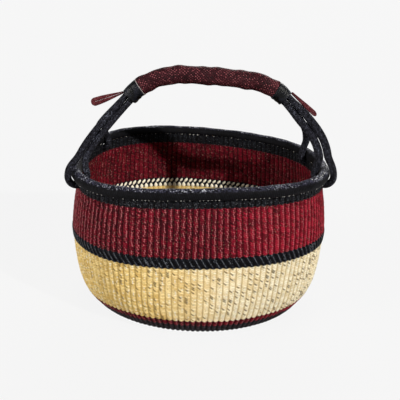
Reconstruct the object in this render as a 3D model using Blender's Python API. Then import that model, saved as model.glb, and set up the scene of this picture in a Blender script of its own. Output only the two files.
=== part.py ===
"""A round twined-grass market basket with a rope handle, as separate pieces.

Metres, +Z up. The origin is the middle of the base where it stands on the floor.
The handle spans the basket along X and the front of the basket faces -Y.
"""
import math

import bmesh
import bpy
from mathutils import Vector

# Driving dimensions of the bowl, in metres
BELLY_RADIUS = 0.1977
RIM_HEIGHT = 0.2109
RIB_COUNT = 72
SIDE_COUNT = 36
SQUARENESS_SHARE = 0.0365
SADDLE_DROP = 0.0055
SADDLE_TURN = math.radians(28.7)
SETTLE_POWER_SHARE = 0.70

# The wall is three layers: weft outside, standing stakes, weft inside
OUTER_WEFT_DEPTH = 0.0020
RIB_DEPTH = 0.0009
STAKE_DEPTH = 0.0016
INNER_WEFT_DEPTH = 0.0014
LAYER_GAP = 0.0003
SEAM_GAP = 0.0003

# The rim is a bundle of stake ends with a straw winding over it
ROLL_RADIUS = 0.0081
WINDING_DEPTH = 0.0016
BUNDLE_RADIUS = 0.0050
RIM_OVERHANG = 0.0016
RIM_SEAT_GAP = 0.0005
WINDING_STEPS = 8
WINDING_LINING_STEPS = 5
BUNDLE_SIDES = 6

# The handle is two closed rings of grass rope, front and rear
ROPE_RADIUS = 0.0047
ROPE_GAP = 0.0003
LOOP_GAP = 0.0013
HOLE_GAP = 0.0011
HANDLE_REACH = 0.1166
CROWN_HEIGHT = 0.3405
LEG_LEAD_OUT = {"left": 0.0490, "right": 0.0218}
LEG_LEAD_SIDE = {"left": 0.0035, "right": 0.0082}
LEG_LEAD_DOWN = {"left": 0.0546, "right": 0.0513}
LEG_LANDING = {"left": 0.0280, "right": 0.0800}
STRANDS_PART_SHARE = 0.68
TIE_ANGLES = {
    "front": {"left": math.radians(205.8), "right": math.radians(-19.8)},
    "rear": {"left": math.radians(154.5), "right": math.radians(23.1)},
}
ARCH_STEPS = 13
LEG_STEPS = 8
LOOP_STEPS = 8
HOLE_SIDES = 8
HOLE_STEPS = 16

# The grip and its leather cuffs share one rounded square section
SLEEVE_GAP = 0.0005
GRIP_DEPTH = 0.0030
GRIP_CORNER = 0.0009
CUFF_DEPTH = 0.0036
CUFF_FOOT_DEPTH = 0.0028
CUFF_LENGTHS = {"left": 0.0233, "right": 0.0195}
CUFF_INSET = 0.0040
SECTION_SIDES = 16

# The tags are flat braided loops that stick out from under the cuffs
TAG_LENGTH = 0.0500
TAG_WIDTH = 0.0130
TAG_ROOT_WIDTH = 0.0042
TAG_DEPTH = 0.0034
TAG_EDGE = 0.0010
TAG_SLIT_WIDTH = 0.0018
TAG_CORD_WIDTH = 0.0052
TAG_GAP = 0.0004
TAG_STEPS = 9
TAG_SWELL_POWER_SHARE = 1.3
TAG_SLIT_START_SHARE = 0.42
TAG_TIP_ANGLES = (math.radians(36), math.radians(72))
TAG_HEEL_ANGLES = (math.radians(-45), 0.0, math.radians(45))
TAG_SLOPES = {"left": math.radians(-20), "right": math.radians(-38)}

# Outer face of the wall from the foot up, as (rim height share, belly radius share)
WALL_OUTLINE_SHARES = (
    (0.000, 0.752),
    (0.012, 0.799),
    (0.085, 0.872),
    (0.130, 0.906),
    (0.265, 0.954),
    (0.522, 0.991),
    (0.596, 0.998),
    (0.740, 0.989),
    (0.907, 0.9645),
)
FOOT, CORNER, BASE_BLACK, BASE_BURGUNDY, NATURAL_MIDDLE = range(5)
NATURAL_TOP, TWINED_TOP, BURGUNDY_MIDDLE, BURGUNDY_TOP, WALL_TOP = range(5, 10)
WALL_TOP_SHARE = 0.961

# Middle line of the handle between the cuffs' feet, as (reach share, crown height share)
HANDLE_LINE_SHARES = (
    (-0.955, 0.887),
    (-0.787, 0.943),
    (-0.552, 0.983),
    (-0.300, 1.000),
    (-0.050, 0.999),
    (0.210, 0.996),
    (0.460, 0.988),
    (0.715, 0.976),
    (0.933, 0.945),
    (1.083, 0.902),
)

COLOURS = {
    "black": (0.018, 0.016, 0.018, 1.0),
    "burgundy": (0.120, 0.013, 0.017, 1.0),
    "natural": (0.690, 0.510, 0.250, 1.0),
    "stake": (0.520, 0.370, 0.170, 1.0),
    "leather": (0.010, 0.009, 0.010, 1.0),
}


def clear_scene():
    """Remove whatever objects the open file holds."""
    for item in list(bpy.data.objects):
        bpy.data.objects.remove(item, do_unlink=True)


def make_material(name, colour, roughness):
    material = bpy.data.materials.new(name)
    material.use_nodes = True
    shader = material.node_tree.nodes["Principled BSDF"]
    shader.inputs["Base Color"].default_value = COLOURS[colour]
    shader.inputs["Roughness"].default_value = roughness
    shader.inputs["Metallic"].default_value = 0.0
    return material


def add_object(name, data, colour, roughness=0.7):
    """Put a mesh or curve in the scene under its own name and material."""
    item = bpy.data.objects.new(name, data)
    data.materials.append(make_material(name + "_finish", colour, roughness))
    bpy.context.scene.collection.objects.link(item)
    return item


def mesh_from(bm, name, sharp_angle=math.radians(35)):
    """Close a bmesh into a smooth-shaded mesh whose faces point out."""
    bmesh.ops.recalc_face_normals(bm, faces=bm.faces)
    mesh = bpy.data.meshes.new(name)
    bm.to_mesh(mesh)
    bm.free()
    mesh.shade_smooth()
    mesh.set_sharp_from_angle(angle=sharp_angle)
    return mesh


# The settled form of the bowl

def settled(radius, height, turn, share=1.0):
    """Turned point once the plan has squared off a little and the rim sags in a saddle."""
    plan = radius * (1 - SQUARENESS_SHARE * share * math.cos(4 * turn))
    lift = -SADDLE_DROP * share * math.cos(2 * (turn - SADDLE_TURN))
    return Vector((plan * math.cos(turn), plan * math.sin(turn), height + lift))


def roll_radius_to_axis():
    """Distance of the rim roll's middle from the basket's axis."""
    return WALL_TOP_SHARE * BELLY_RADIUS + RIM_OVERHANG


def roll_centre(turn):
    return settled(roll_radius_to_axis(), RIM_HEIGHT, turn)


def wall_top_height():
    """The outer weft stops just under the roll, where the roll's underside comes down on it."""
    return RIM_HEIGHT - math.sqrt(ROLL_RADIUS ** 2 - RIM_OVERHANG ** 2) - RIM_SEAT_GAP


def wall_outline():
    """Stations of the wall's outer face as (radius, height)."""
    stations = [Vector((r * BELLY_RADIUS, h * RIM_HEIGHT)) for h, r in WALL_OUTLINE_SHARES]
    stations.append(Vector((WALL_TOP_SHARE * BELLY_RADIUS, wall_top_height())))
    return stations


def settled_share(station):
    """How much of the rim's squareness and saddle the wall has at a station."""
    return (wall_outline()[station].y / RIM_HEIGHT) ** SETTLE_POWER_SHARE


def wall_point(station, depth, along=0.0):
    """Point of the wall at a depth below its outer face, moved along the face by a length."""
    outline = wall_outline()
    here = outline[station]
    before = outline[station - 1] if station > 0 else Vector((0.0, 0.0))
    after = outline[station + 1] if station + 1 < len(outline) else None
    run_in = (here - before).normalized()
    run_out = (after - here).normalized() if after else run_in
    run = (run_in + run_out).normalized()
    inward = Vector((-run.y, run.x))
    mitre = depth / run.dot(run_in)
    return here + inward * mitre + run * along


def wall_ring(bm, station, depth, along=0.0, count=SIDE_COUNT, rib=0.0, phase=0):
    """Ring of points on the wall; with a rib depth every other point drops into a valley."""
    share = settled_share(station)
    ring = []
    for index in range(count):
        turn = math.tau * index / count
        valley = rib if (index + phase) % 2 == 0 else 0.0
        radius, height = wall_point(station, depth + valley, along)
        ring.append(bm.verts.new(settled(radius, height, turn, share)))
    return ring


def join_rings(bm, lower, upper):
    """Faces between two rings of as many points, split alike so that layers stay parallel."""
    count = len(lower)
    for index in range(count):
        following = (index + 1) % count
        bm.faces.new((lower[index], lower[following], upper[following]))
        bm.faces.new((lower[index], upper[following], upper[index]))


def zip_rings(bm, coarse, fine):
    """Triangles between a coarse ring and a finer one that starts at the same turn."""
    per_side = len(fine) // len(coarse)
    half = per_side // 2
    for side in range(len(coarse)):
        start = coarse[side]
        end = coarse[(side + 1) % len(coarse)]
        points = [fine[(side * per_side + step) % len(fine)] for step in range(per_side + 1)]
        for step in range(per_side):
            corner = start if step < half else end
            bm.faces.new((corner, points[step + 1], points[step]))
        bm.faces.new((start, end, points[half]))


# Woven bands of the wall

def seam(station, first, last):
    """Half a seam's gap drawn in from the band's own two ends."""
    if station == first:
        return SEAM_GAP / 2
    if station == last:
        return -SEAM_GAP / 2
    return 0.0


def outer_band(name, first, last, colour, lean=0):
    """Ribbed band of weft outside the stakes; lean shifts the ribs to a slant, in points."""
    bm = bmesh.new()
    fine_count = 2 * RIB_COUNT
    outer = []
    inner = []
    for step, station in enumerate(range(first, last + 1)):
        along = seam(station, first, last) if station != WALL_TOP else 0.0
        outer.append(wall_ring(bm, station, 0.0, along, fine_count, RIB_DEPTH, step * lean))
        inner.append(wall_ring(bm, station, OUTER_WEFT_DEPTH, along))
    for step in range(last - first):
        join_rings(bm, outer[step], outer[step + 1])
        join_rings(bm, inner[step], inner[step + 1])
    zip_rings(bm, inner[0], outer[0])
    zip_rings(bm, inner[-1], outer[-1])
    return add_object(name, mesh_from(bm, name), colour)


def inner_depths():
    """Depths of the inner weft's two faces below the wall's outer face."""
    near = OUTER_WEFT_DEPTH + STAKE_DEPTH + 2 * LAYER_GAP
    return near, near + INNER_WEFT_DEPTH


def hidden_rise():
    """How much higher than the outer weft the stakes and the inner weft reach."""
    return ROLL_RADIUS / 2


def inner_band(name, first, last, colour):
    """Plain band of weft inside the stakes."""
    bm = bmesh.new()
    near, far = inner_depths()
    outer = []
    inner = []
    for station in range(first, last + 1):
        along = hidden_rise() if station == WALL_TOP else seam(station, first, last)
        outer.append(wall_ring(bm, station, near, along))
        inner.append(wall_ring(bm, station, far, along))
    for step in range(last - first):
        join_rings(bm, outer[step], outer[step + 1])
        join_rings(bm, inner[step], inner[step + 1])
    join_rings(bm, inner[0], outer[0])
    join_rings(bm, outer[-1], inner[-1])
    return add_object(name, mesh_from(bm, name), colour)


def base_outer_weft():
    """Black underside that the basket stands on, turned up into the first ribbed band."""
    bm = bmesh.new()
    fine_count = 2 * RIB_COUNT
    edge = -SEAM_GAP / 2
    foot = wall_ring(bm, FOOT, 0.0)
    corner = wall_ring(bm, CORNER, 0.0, 0.0, fine_count, RIB_DEPTH)
    top = wall_ring(bm, BASE_BLACK, 0.0, edge, fine_count, RIB_DEPTH)
    lining = [
        wall_ring(bm, FOOT, OUTER_WEFT_DEPTH),
        wall_ring(bm, CORNER, OUTER_WEFT_DEPTH),
        wall_ring(bm, BASE_BLACK, OUTER_WEFT_DEPTH, edge),
    ]
    bm.faces.new(foot)
    zip_rings(bm, foot, corner)
    join_rings(bm, corner, top)
    zip_rings(bm, lining[2], top)
    join_rings(bm, lining[1], lining[2])
    join_rings(bm, lining[0], lining[1])
    bm.faces.new(lining[0])
    return add_object("base_weft_outer", mesh_from(bm, "base_weft_outer"), "black")


def dish(name, first_depth, last_depth, last, along, colour):
    """Closed floor and wall between two depths, up to a station."""
    bm = bmesh.new()
    stations = range(FOOT, last + 1)
    outer = []
    inner = []
    for station in stations:
        shift = along if station == last else 0.0
        outer.append(wall_ring(bm, station, first_depth, shift))
        inner.append(wall_ring(bm, station, last_depth, shift))
    for step in range(last - FOOT):
        join_rings(bm, outer[step], outer[step + 1])
        join_rings(bm, inner[step], inner[step + 1])
    bm.faces.new(outer[0])
    bm.faces.new(inner[0])
    join_rings(bm, outer[-1], inner[-1])
    return add_object(name, mesh_from(bm, name), colour)


# The rim

def section_arc(radius, start, end, steps):
    """Points of an arc round the roll's middle as (outward, up)."""
    span = end - start
    angles = [start + span * step / steps for step in range(steps + 1)]
    return [Vector((radius * math.cos(a), radius * math.sin(a))) for a in angles]


def rim_ring(name, section, colour):
    """Closed section carried once round the rim."""
    bm = bmesh.new()
    columns = []
    for index in range(SIDE_COUNT):
        turn = math.tau * index / SIDE_COUNT
        axis = roll_radius_to_axis()
        column = [settled(axis + p.x, RIM_HEIGHT + p.y, turn) for p in section]
        columns.append([bm.verts.new(point) for point in column])
    for index in range(SIDE_COUNT):
        join_rings(bm, columns[index], columns[(index + 1) % SIDE_COUNT])
    return add_object(name, mesh_from(bm, name), colour)


def winding_section():
    """The winding is open below, where the stakes come up through it."""
    lining = ROLL_RADIUS - WINDING_DEPTH
    stake_face = RIM_OVERHANG + OUTER_WEFT_DEPTH + LAYER_GAP
    stake_back = stake_face + STAKE_DEPTH
    near_lip = -math.acos(-(stake_face - LAYER_GAP) / ROLL_RADIUS)
    far_lip = math.tau - math.acos(-(stake_back + LAYER_GAP) / lining)
    outside = section_arc(ROLL_RADIUS, near_lip, far_lip, WINDING_STEPS)
    inside = section_arc(lining, far_lip, near_lip, WINDING_LINING_STEPS)
    return outside + inside


def bundle_section():
    arc = section_arc(BUNDLE_RADIUS, 0.0, math.tau, BUNDLE_SIDES)
    return arc[:-1]


# The handle's ropes

def spline_point(points, place):
    """Catmull-Rom curve through the points; place runs from 0 to their count less one."""
    span = min(int(place), len(points) - 2)
    t = place - span
    first = points[span]
    second = points[span + 1]
    before = points[span - 1] if span > 0 else 2 * first - second
    after = points[span + 2] if span + 2 < len(points) else 2 * second - first
    cubic = -before + 3 * first - 3 * second + after
    square = 2 * before - 5 * first + 4 * second - after
    return first + 0.5 * t * ((second - before) + t * (square + t * cubic))


def arch_line(steps):
    """Points of the handle's middle line between the feet of the two cuffs."""
    points = [Vector((x * HANDLE_REACH, 0.0, z * CROWN_HEIGHT)) for x, z in HANDLE_LINE_SHARES]
    last = len(points) - 1
    return [spline_point(points, last * step / steps) for step in range(steps + 1)]


def rope_offset():
    """Distance of each strand from the middle of the bundle of four, along either side."""
    return ROPE_RADIUS + ROPE_GAP / 2


def loop_radius():
    """Each rope goes round the rim roll on this radius."""
    return ROLL_RADIUS + LOOP_GAP + ROPE_RADIUS


def radial(turn):
    return Vector((math.cos(turn), math.sin(turn), 0.0))


def leg_curve(start, side, turn):
    """Bezier handles of one leg, from a cuff's foot down to the middle of the rim roll."""
    outward = 1 if side == "right" else -1
    end = roll_centre(turn)
    sideways = math.copysign(LEG_LEAD_SIDE[side], end.y)
    lead = Vector((outward * LEG_LEAD_OUT[side], sideways, -LEG_LEAD_DOWN[side]))
    return start, start + lead, end + Vector((0.0, 0.0, LEG_LANDING[side])), end


def bezier(curve, t):
    a, b, c, d = curve
    s = 1 - t
    return s ** 3 * a + 3 * s * s * t * b + 3 * s * t * t * c + t ** 3 * d


def leg_line(start, side, turn):
    curve = leg_curve(start, side, turn)
    return [bezier(curve, step / LEG_STEPS) for step in range(LEG_STEPS + 1)]


def handle_line(place):
    """Middle line of one rope's two strands, each point with its spread and its way out."""
    side_shift = rope_offset() if place == "rear" else -rope_offset()
    arch = [point + Vector((0.0, side_shift, 0.0)) for point in arch_line(ARCH_STEPS)]
    turns = TIE_ANGLES[place]
    left = leg_line(arch[0], "left", turns["left"])
    right = leg_line(arch[-1], "right", turns["right"])
    line = left[:0:-1] + arch + right[1:]
    rows = []
    for index, point in enumerate(line):
        before = line[max(index - 1, 0)]
        after = line[min(index + 1, len(line) - 1)]
        run = (after - before).normalized()
        above = Vector((-run.z, 0.0, run.x))
        steps_down = max(LEG_STEPS - index, index - LEG_STEPS - ARCH_STEPS, 0)
        share = steps_down / LEG_STEPS
        parted = max(share - STRANDS_PART_SHARE, 0.0) / (1 - STRANDS_PART_SHARE)
        ease = parted * parted * (3 - 2 * parted)
        turn = turns["left"] if index < LEG_STEPS else turns["right"]
        out = above.normalized() * (1 - ease) + radial(turn) * ease
        if share < 1:
            out = out - out.dot(run) * run
        spread = rope_offset() * (1 - ease) + loop_radius() * ease
        rows.append((point, out.normalized(), spread))
    return rows


def loop_points(turn):
    """Rope points round the underside of the rim roll, from outside the basket to inside."""
    reach = loop_radius() / math.cos(math.pi / LOOP_STEPS / 2)
    centre = roll_centre(turn)
    points = []
    for step in range(LOOP_STEPS):
        angle = -math.pi * (step + 0.5) / LOOP_STEPS
        way = radial(turn) * math.cos(angle) + Vector((0.0, 0.0, math.sin(angle)))
        points.append(centre + way * reach)
    return points


def rope_ring(place, name):
    """One closed rope: over the grip, down, under the rim and back along its own side."""
    rows = handle_line(place)
    upper = [point + out * spread for point, out, spread in rows]
    lower = [point - out * spread for point, out, spread in rows]
    turns = TIE_ANGLES[place]
    route = upper + loop_points(turns["right"]) + lower[::-1] + loop_points(turns["left"])[::-1]
    curve = bpy.data.curves.new(name, "CURVE")
    curve.dimensions = "3D"
    curve.bevel_depth = ROPE_RADIUS
    curve.bevel_resolution = 2
    spline = curve.splines.new("POLY")
    spline.points.add(len(route) - 1)
    for control, point in zip(spline.points, route):
        control.co = (*point, 1.0)
    spline.use_cyclic_u = True
    return add_object(name, curve, "black")


def rope_holes():
    """Cutter for the wall: one ring round the roll at each of the four ties."""
    bm = bmesh.new()
    bore = ROPE_RADIUS + HOLE_GAP
    for turns in TIE_ANGLES.values():
        for turn in turns.values():
            centre = roll_centre(turn)
            columns = []
            for step in range(HOLE_STEPS):
                around = math.tau * step / HOLE_STEPS
                out = radial(turn) * math.cos(around) + Vector((0, 0, math.sin(around)))
                column = []
                for side in range(HOLE_SIDES):
                    angle = math.tau * side / HOLE_SIDES
                    reach = loop_radius() + bore * math.cos(angle)
                    across = Vector((-math.sin(turn), math.cos(turn), 0.0)) * bore * math.sin(angle)
                    column.append(bm.verts.new(centre + out * reach + across))
                columns.append(column)
            for step in range(HOLE_STEPS):
                join_rings(bm, columns[step], columns[(step + 1) % HOLE_STEPS])
    cutter = add_object("rope_hole_cutter", mesh_from(bm, "rope_hole_cutter"), "stake")
    cutter.hide_render = True
    cutter.display_type = "WIRE"
    return cutter


def cut_holes(item, cutter):
    modifier = item.modifiers.new("rope_holes", "BOOLEAN")
    modifier.operation = "DIFFERENCE"
    modifier.solver = "EXACT"
    modifier.object = cutter


# The grip and its cuffs

def section_radius(half, corner, angle):
    """Rounded square: half its width at the flats, a little more at the corners."""
    return half + corner * math.sin(2 * angle) ** 2


def sleeve_bore():
    """Half width of the bore round the four strands, and what its corners add."""
    half = 2 * ROPE_RADIUS + ROPE_GAP / 2 + SLEEVE_GAP
    corner = (math.sqrt(2) - 1) * rope_offset() + ROPE_GAP
    return half, corner


def sleeve(name, line, first_depth, last_depth, colour, roughness):
    """Tube of rounded square section along a line, its wall thinning evenly from end to end."""
    bm = bmesh.new()
    bore, bore_corner = sleeve_bore()
    across = Vector((0.0, 1.0, 0.0))
    total = line_length(line)
    walked = 0.0
    outer = []
    inner = []
    for index, point in enumerate(line):
        before = line[max(index - 1, 0)]
        after = line[min(index + 1, len(line) - 1)]
        run = (after - before).normalized()
        above = Vector((-run.z, 0.0, run.x))
        walked += (point - before).length
        depth = first_depth + (last_depth - first_depth) * walked / total
        for rings, half, swell in ((outer, bore + depth, GRIP_CORNER), (inner, bore, bore_corner)):
            ring = []
            for side in range(SECTION_SIDES):
                angle = math.tau * side / SECTION_SIDES
                reach = section_radius(half, swell, angle)
                offset = (above * math.cos(angle) + across * math.sin(angle)) * reach
                ring.append(bm.verts.new(point + offset))
            rings.append(ring)
    for step in range(len(line) - 1):
        join_rings(bm, outer[step], outer[step + 1])
        join_rings(bm, inner[step], inner[step + 1])
    join_rings(bm, inner[0], outer[0])
    join_rings(bm, outer[-1], inner[-1])
    return add_object(name, mesh_from(bm, name), colour, roughness)


def line_length(line):
    return sum((b - a).length for a, b in zip(line, line[1:]))


def stretch(line, start, end):
    """The part of a line between two lengths along it, with the line's own corners."""
    points = []
    walked = 0.0
    for a, b in zip(line, line[1:]):
        run = (b - a).length
        if walked <= start < walked + run:
            points.append(a.lerp(b, (start - walked) / run))
        if start < walked + run < end:
            points.append(b)
        if walked < end <= walked + run or (b is line[-1] and end > walked + run):
            points.append(a.lerp(b, min((end - walked) / run, 1.0)))
        walked += run
    return points


def handle_sleeves():
    """Braided grip between two leather cuffs, each a little short of where the legs part."""
    line = arch_line(ARCH_STEPS)
    last = line_length(line) - CUFF_INSET
    left = CUFF_INSET + CUFF_LENGTHS["left"]
    right = last - CUFF_LENGTHS["right"]
    grip = stretch(line, left + SEAM_GAP, right - SEAM_GAP)
    sleeve("grip_wrap", grip, GRIP_DEPTH, GRIP_DEPTH, "burgundy", 0.6)
    left_cuff = stretch(line, CUFF_INSET, left)
    sleeve("left_cuff", left_cuff, CUFF_FOOT_DEPTH, CUFF_DEPTH, "leather", 0.35)
    right_cuff = stretch(line, right, last)
    sleeve("right_cuff", right_cuff, CUFF_DEPTH, CUFF_FOOT_DEPTH, "leather", 0.35)


# The braided tags

def tag_half_width(share):
    """Half width of a tag along its length: narrow at the root, full near the tip."""
    root = TAG_ROOT_WIDTH / 2
    full = TAG_WIDTH / 2
    ease = math.sin(math.pi / 2 * share) ** TAG_SWELL_POWER_SHARE
    return root + (full - root) * ease


def tag_outline():
    """Closed outline of a tag from its root at the origin along +X, round at both ends."""
    full = TAG_WIDTH / 2
    root = TAG_ROOT_WIDTH / 2
    shoulder = TAG_LENGTH - full
    shares = [step / TAG_STEPS for step in range(TAG_STEPS + 1)]
    side = [(shoulder * share, tag_half_width(share)) for share in shares]
    tip = [(shoulder + full * math.sin(a), full * math.cos(a)) for a in TAG_TIP_ANGLES]
    upper = side + tip
    lower = [(x, -y) for x, y in reversed(upper)]
    heel = [(-root * math.cos(a), root * math.sin(a)) for a in TAG_HEEL_ANGLES]
    return upper + lower + heel


def tag_slit():
    """The narrow gap between the loop's two runs of braid."""
    start = TAG_LENGTH * TAG_SLIT_START_SHARE
    end = TAG_LENGTH - TAG_CORD_WIDTH
    half = TAG_SLIT_WIDTH / 2
    middle = (start + end) / 2
    return [(start, 0.0), (middle, -half), (end - half, -half), (end, 0.0),
            (end - half, half), (middle, half)]


def tag(side):
    """Flat braided loop whose heel turns at the foot of its cuff."""
    name = side + "_tag"
    curve = bpy.data.curves.new(name, "CURVE")
    curve.dimensions = "2D"
    curve.fill_mode = "BOTH"
    curve.extrude = TAG_DEPTH / 2 - TAG_EDGE
    curve.bevel_depth = TAG_EDGE
    curve.bevel_resolution = 1
    curve.offset = -TAG_EDGE
    for outline in (tag_outline(), tag_slit()):
        spline = curve.splines.new("POLY")
        spline.points.add(len(outline) - 1)
        for control, (x, y) in zip(spline.points, outline):
            control.co = (x, y, 0.0, 1.0)
        spline.use_cyclic_u = True
    item = add_object(name, curve, "burgundy", 0.6)
    item.location = tag_heel(side)
    slope = TAG_SLOPES[side]
    if side == "left":
        item.rotation_euler = (math.radians(90), 0.0, math.pi)
        item.rotation_euler.rotate_axis("Z", slope)
    else:
        item.rotation_euler = (0.0, -slope, 0.0)
    return item


def tag_heel(side):
    """The tag's turning point, beside the strands just past the cuff's foot."""
    line = arch_line(ARCH_STEPS)
    if side == "left":
        foot, inside = line[0], line[1]
    else:
        foot, inside = line[-1], line[-2]
    run = (foot - inside).normalized()
    above = Vector((-run.z, 0.0, run.x)) if side == "right" else Vector((run.z, 0.0, -run.x))
    bore, _ = sleeve_bore()
    past_cuff = TAG_ROOT_WIDTH / 2 + TAG_GAP - CUFF_INSET
    return foot + run * past_cuff + above * (bore + TAG_DEPTH / 2)


def build():
    clear_scene()
    base_outer_weft()
    outer_band("base_burgundy_weft_outer", BASE_BLACK, BASE_BURGUNDY, "burgundy")
    outer_band("natural_weft_outer", BASE_BURGUNDY, NATURAL_TOP, "natural")
    outer_band("twined_course_outer", NATURAL_TOP, TWINED_TOP, "black", lean=1)
    outer_band("burgundy_weft_outer", TWINED_TOP, BURGUNDY_TOP, "burgundy")
    black_outer = outer_band("black_weft_outer", BURGUNDY_TOP, WALL_TOP, "black")

    stake_start = OUTER_WEFT_DEPTH + LAYER_GAP
    stakes = dish("stakes", stake_start, stake_start + STAKE_DEPTH, WALL_TOP, hidden_rise(), "stake")

    near, far = inner_depths()
    dish("base_weft_inner", near, far, BASE_BLACK, -SEAM_GAP / 2, "black")
    inner_band("base_burgundy_weft_inner", BASE_BLACK, BASE_BURGUNDY, "burgundy")
    inner_band("natural_weft_inner", BASE_BURGUNDY, NATURAL_TOP, "natural")
    inner_band("twined_course_inner", NATURAL_TOP, TWINED_TOP, "natural")
    inner_band("burgundy_weft_inner", TWINED_TOP, BURGUNDY_TOP, "burgundy")
    black_inner = inner_band("black_weft_inner", BURGUNDY_TOP, WALL_TOP, "black")

    rim_ring("rim_bundle", bundle_section(), "stake")
    rim_ring("rim_winding", winding_section(), "black")

    rope_ring("front", "front_handle_rope")
    rope_ring("rear", "rear_handle_rope")
    cutter = rope_holes()
    for layer in (black_outer, stakes, black_inner):
        cut_holes(layer, cutter)

    handle_sleeves()
    tag("left")
    tag("right")


build()
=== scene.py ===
"""Looks of a round twined-grass market basket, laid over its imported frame.

Metres, +Z up. The wall's ribs, stitches, windings and braids are shaped in the meshes,
and the finishes add what is finer than a stitch.
"""

import math

import bpy
import numpy as np
from mathutils import Matrix, Vector


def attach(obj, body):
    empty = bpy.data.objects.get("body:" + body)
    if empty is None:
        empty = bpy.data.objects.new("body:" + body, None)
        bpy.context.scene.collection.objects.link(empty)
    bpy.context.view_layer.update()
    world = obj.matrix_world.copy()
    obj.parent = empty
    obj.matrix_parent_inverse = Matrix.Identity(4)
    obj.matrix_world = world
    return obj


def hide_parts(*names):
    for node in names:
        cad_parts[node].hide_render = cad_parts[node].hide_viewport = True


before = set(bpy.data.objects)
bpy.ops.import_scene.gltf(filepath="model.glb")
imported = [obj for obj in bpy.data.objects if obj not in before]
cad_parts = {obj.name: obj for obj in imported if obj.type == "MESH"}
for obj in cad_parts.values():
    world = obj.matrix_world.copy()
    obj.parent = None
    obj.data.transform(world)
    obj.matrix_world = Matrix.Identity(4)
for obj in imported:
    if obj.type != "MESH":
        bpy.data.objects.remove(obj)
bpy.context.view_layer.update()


# The stage
# A large pale floor under even daylight, with a low key lamp from the right of the front
# and softer lamps from the left and from behind, seen from a little above the handle.

CAMERA_TILT = math.radians(17.905)
CAMERA_REACH = 1.155
CAMERA_AIM = Vector((0.001155, 0.0, 0.147105))
CAMERA_ROLL = 0.0297
CAMERA_FOCAL_SHARE = 743.09 / 400
SENSOR_WIDTH = 36.0

ahead = Vector((0.0, math.cos(CAMERA_TILT), -math.sin(CAMERA_TILT)))
upward = Vector((0.0, math.sin(CAMERA_TILT), math.cos(CAMERA_TILT)))
rightward = Vector((1.0, 0.0, 0.0))
camera_x = math.cos(CAMERA_ROLL) * rightward + math.sin(CAMERA_ROLL) * upward
camera_y = -math.sin(CAMERA_ROLL) * rightward + math.cos(CAMERA_ROLL) * upward
camera_place = CAMERA_AIM - CAMERA_REACH * ahead
camera_data = bpy.data.cameras.new("camera")
camera_data.sensor_width = SENSOR_WIDTH
camera_data.lens = CAMERA_FOCAL_SHARE * SENSOR_WIDTH
camera_data.clip_end = 100.0
camera = bpy.data.objects.new("camera", camera_data)
bpy.context.scene.collection.objects.link(camera)
camera.matrix_world = Matrix((
    (camera_x.x, camera_y.x, -ahead.x, camera_place.x),
    (camera_x.y, camera_y.y, -ahead.y, camera_place.y),
    (camera_x.z, camera_y.z, -ahead.z, camera_place.z),
    (0.0, 0.0, 0.0, 1.0),
))
bpy.context.scene.camera = camera
bpy.context.scene.view_settings.view_transform = "Standard"


def add_sun(name, azimuth, elevation, energy, spread, colour):
    """Lamp at infinity; azimuth 0 shines along +Y from the front, positive from the right."""
    data = bpy.data.lights.new(name, "SUN")
    data.energy = energy
    data.angle = math.radians(spread)
    data.color = colour
    lamp = bpy.data.objects.new(name, data)
    bpy.context.scene.collection.objects.link(lamp)
    lamp.rotation_euler = (math.radians(90 - elevation), 0.0, math.radians(azimuth))


add_sun("key_lamp", 45, 28, 3.6, 2, (1.0, 0.98, 0.95))
add_sun("left_lamp", -60, 12, 2.5, 25, (1.0, 0.98, 0.95))
add_sun("back_lamp", 170, 24, 1.7, 40, (1.0, 0.98, 0.95))


class Socket:
    """An output of a finish's tree that takes part in sums, on either side of a number."""

    def __init__(self, finish, output):
        self.finish = finish
        self.output = output

    def __add__(self, other):
        return self.finish.maths("ADD", self, other)

    def __radd__(self, other):
        return self.finish.maths("ADD", other, self)

    def __sub__(self, other):
        return self.finish.maths("SUBTRACT", self, other)

    def __rsub__(self, other):
        return self.finish.maths("SUBTRACT", other, self)

    def __mul__(self, other):
        return self.finish.maths("MULTIPLY", self, other)

    def __rmul__(self, other):
        return self.finish.maths("MULTIPLY", other, self)

    def __truediv__(self, other):
        return self.finish.maths("DIVIDE", self, other)

    def __abs__(self):
        return self.finish.maths("ABSOLUTE", self)

    def floor(self):
        return self.finish.maths("FLOOR", self)

    def fraction(self):
        return self.finish.maths("FRACT", self)

    def between(self, low, high):
        """0 below low, 1 above high and an even ease in between."""
        inputs = {0: self, 1: low, 2: high}
        return self.finish.node("ShaderNodeMapRange", {"interpolation_type": "SMOOTHSTEP"}, inputs)


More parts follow.
